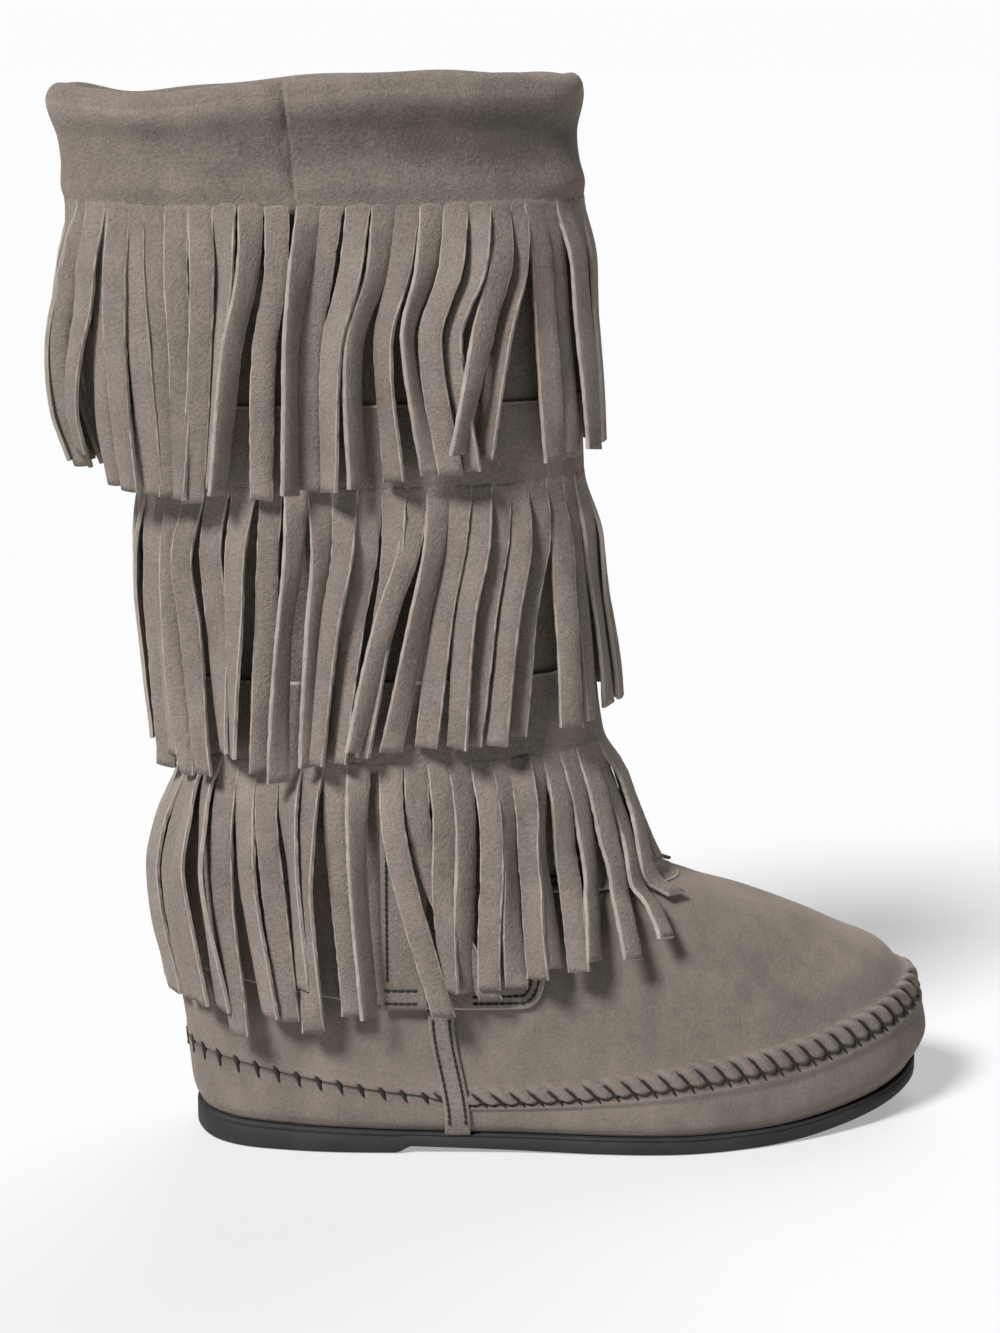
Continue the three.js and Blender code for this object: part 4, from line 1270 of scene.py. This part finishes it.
class BOOT_OT_stitches(bpy.types.Operator):
    """Makes the whipped seam round the foot and the sewn rows of the straps"""

    bl_idname = "boot.stitches"
    bl_label = "Stitches"

    # seam stitches: pitch, ends below and above the seam, slope, radius, and 1 for the gathered front
    whips = [
        [HEEL_PITCH, -0.0030, 0.0028, 0.14, 0.00085, 0],
        [TOE_PITCH, -0.0010, 0.0064, GATHER_LEAN, 0.0006, 1],
    ]
    # sewn rows of a side: distance out, and the points of x and height that the row joins
    strip_rows = [
        [0.0034, [[0.0295, 0.062], [0.0295, 0.128]]],
        [0.0034, [[0.0285, 0.0545], [0.0415, 0.0545]]],
        [0.0034, [[0.0285, 0.0590], [0.0415, 0.0590]]],
    ]
    row_pitch = 0.0022
    row_stitch = 0.0020
    row_thread = 0.00050

    def whip(self, form, batch):
        """Upright stitches round the heel and slanted ones round the toe."""
        angles, lengths = arc_lengths(form, SEAM_LEVEL, 0)
        half = lengths[-1] / 2
        share = np.linspace(0, 1, 7)
        for pitch, low, high, lean, radius, front in self.whips:
            rise = mix(low, high, share)
            level = SEAM_LEVEL + (rise - TOE_SEAM_DROP * front) / LEVEL_HEIGHT
            for count in range(int(half / pitch)):
                length = (count + 0.5) * pitch - lean * rise
                angle = np.interp(length, lengths, angles)
                if (is_front(angle[3]) > 0.5) != front:
                    continue
                ground = foot_relief(level, angle, length)
                out = np.maximum(ground, -0.0003) + 0.0003 - 0.0004 * front * (2 * share - 1) ** 4
                taper = np.maximum(1 - (2 * share - 1) ** 2, 0.2) ** 0.5
                for place in (angle, 2 * math.pi - angle):
                    batch.tube(form.skin(level, place, out), (radius * taper)[:, None, None])

    def sewn_row(self, form, batch, side, out, places):
        """Short stitches along a line of x and height points."""
        places = np.asarray(places, float)
        steps = np.concatenate([[0], np.cumsum(np.linalg.norm(np.diff(places, axis=0), axis=1))])
        share = np.linspace(0, 1, 5)[None, :]
        count = np.arange(int(steps[-1] / self.row_pitch))[:, None]
        at = count * self.row_pitch + self.row_stitch * share
        x = np.interp(at, steps, places[:, 0])
        z = np.interp(at, steps, places[:, 1])
        dip = out + 0.0001 - 0.0006 * (2 * share - 1) ** 4
        for path in form.on_skin(x, z, side, dip + 0 * x):
            batch.tube(path, self.row_thread, sides=5)

    def lap_rows(self, form, batch, side):
        """Two sewn rows along the shaft's lower edge, in front of the side strip."""
        along = np.linspace(0.44, 0.80, 70)
        turn = np.arccos(1 - 2 * along)
        for inset in (0.0022, 0.0046):
            edge = form.point(lap_level(turn), turn)
            ahead = unit(np.gradient(edge, axis=0)[:, [0, 2]])
            line = edge[:, [0, 2]] + np.column_stack([-ahead[:, 1], ahead[:, 0]]) * inset
            self.sewn_row(form, batch, side, 0.0020, line)

    def execute(self, context):
        form = the_form(context)
        seam = Batch()
        self.whip(form, seam)
        seam.build("whip_stitches", ["thread"], "suede")
        sewn = Batch()
        heights = np.linspace(0.0115, 0.0505, 20)
        for side, _ in SIDES:
            for shift in (-0.0027, 0.0027):
                line = np.column_stack([strap_centre(heights) + shift, heights])
                self.sewn_row(form, sewn, side, 0.0015, line)
            for out, line in self.strip_rows:
                self.sewn_row(form, sewn, side, out, line)
            self.lap_rows(form, sewn, side)
        sewn.build("sewn_rows", ["thread"], "suede")
        return {"FINISHED"}


class BOOT_OT_studio(bpy.types.Operator):
    """Makes the floor, the lights and the camera"""

    bl_idname = "boot.studio"
    bl_label = "Studio"

    reach = 40
    # name, place that it shines from, spread in degrees and strength
    suns = [["key", (-1.0, -0.95, 1.5), 15, 4.6], ["back", (0.5, 1.3, 1.3), 50, 1.5]]
    ambient = 0.06
    backdrop = 0.975
    lens = 73.75
    shift = -0.0304
    eye = (-0.0025, -0.8971, 0.365)
    # degrees up from straight down, and round to the left
    gaze = (78, -4.6)

    def floor(self):
        """A wide pale floor."""
        reach = self.reach
        flat = [(-reach, -reach, 0), (reach, -reach, 0), (reach, reach, 0), (-reach, reach, 0)]
        mesh = bpy.data.meshes.new("studio_floor")
        mesh.from_pydata(flat, [], [(0, 1, 2, 3)])
        mesh.materials.append(MATERIALS["floor"])
        piece = add_object("studio_floor", mesh)

    def sun(self, name, place, spread, strength):
        """Even light from the direction of a place, with soft shadows."""
        lamp = bpy.data.lights.new(name, "SUN")
        lamp.angle = math.radians(spread)
        lamp.energy = strength
        piece = add_object(name, lamp)
        piece.location = place
        piece.rotation_mode = "QUATERNION"
        piece.rotation_quaternion = (-Vector(place)).to_track_quat("-Z", "Y")

    def world(self):
        """A dim room light behind a pale backdrop."""
        world = bpy.data.worlds.new("studio")
        world.use_nodes = True
        tree = world.node_tree
        path = tree.nodes.new("ShaderNodeLightPath")
        strength = tree.nodes.new("ShaderNodeMapRange")
        strength.inputs["To Min"].default_value = self.ambient
        strength.inputs["To Max"].default_value = self.backdrop
        tree.links.new(path.outputs["Is Camera Ray"], strength.inputs["Value"])
        background = tree.nodes["Background"]
        background.inputs["Color"].default_value = (1, 1, 1, 1)
        tree.links.new(strength.outputs[0], background.inputs["Strength"])
        return world

    def camera(self):
        """The photograph's view: square to the boot's side, looking twelve degrees down."""
        camera = bpy.data.cameras.new("camera")
        camera.sensor_fit = "AUTO"
        camera.sensor_width = 36
        camera.lens = self.lens
        camera.shift_y = self.shift
        camera.clip_end = 200
        piece = add_object("camera", camera)
        piece.location = self.eye
        piece.rotation_euler = (math.radians(self.gaze[0]), 0, math.radians(self.gaze[1]))
        bpy.context.scene.camera = piece

    def execute(self, context):
        self.floor()
        for sun in self.suns:
            self.sun(*sun)
        context.scene.world = self.world()
        context.scene.view_settings.view_transform = "Standard"
        self.camera()
        return {"FINISHED"}


class BOOT_PT_panel(bpy.types.Panel):
    """Lists the boot's sizes, colours and pieces"""

    bl_idname = "BOOT_PT_panel"
    bl_label = "Moccasin boot"
    bl_space_type = "VIEW_3D"
    bl_region_type = "UI"
    bl_category = "Boot"

    def draw(self, context):
        for group in (context.scene.boot_sizes, context.scene.boot_colours):
            column = self.layout.column(align=True)
            for name in group.__annotations__:
                column.prop(group, name)
        for operator in OPERATORS:
            self.layout.operator(operator.bl_idname)


OPERATORS = (
    BOOT_OT_sole,
    BOOT_OT_foot,
    BOOT_OT_shaft,
    BOOT_OT_straps,
    BOOT_OT_cuff,
    BOOT_OT_fringe,
    BOOT_OT_stitches,
    BOOT_OT_studio,
)
CLASSES = (BootSizes, BootColours, *OPERATORS, BOOT_PT_panel)


def register():
    for entry in CLASSES:
        bpy.utils.register_class(entry)
    bpy.types.Scene.boot_sizes = bpy.props.PointerProperty(type=BootSizes)
    bpy.types.Scene.boot_colours = bpy.props.PointerProperty(type=BootColours)


def unregister():
    del bpy.types.Scene.boot_colours
    del bpy.types.Scene.boot_sizes
    for entry in reversed(CLASSES):
        bpy.utils.unregister_class(entry)


def main():
    register()
    make_materials(bpy.context.scene.boot_colours)
    bpy.ops.boot.sole()
    bpy.ops.boot.foot()
    bpy.ops.boot.shaft()
    bpy.ops.boot.straps()
    bpy.ops.boot.cuff()
    bpy.ops.boot.fringe()
    bpy.ops.boot.stitches()
    bpy.ops.boot.studio()


if __name__ == "__main__":
    main()
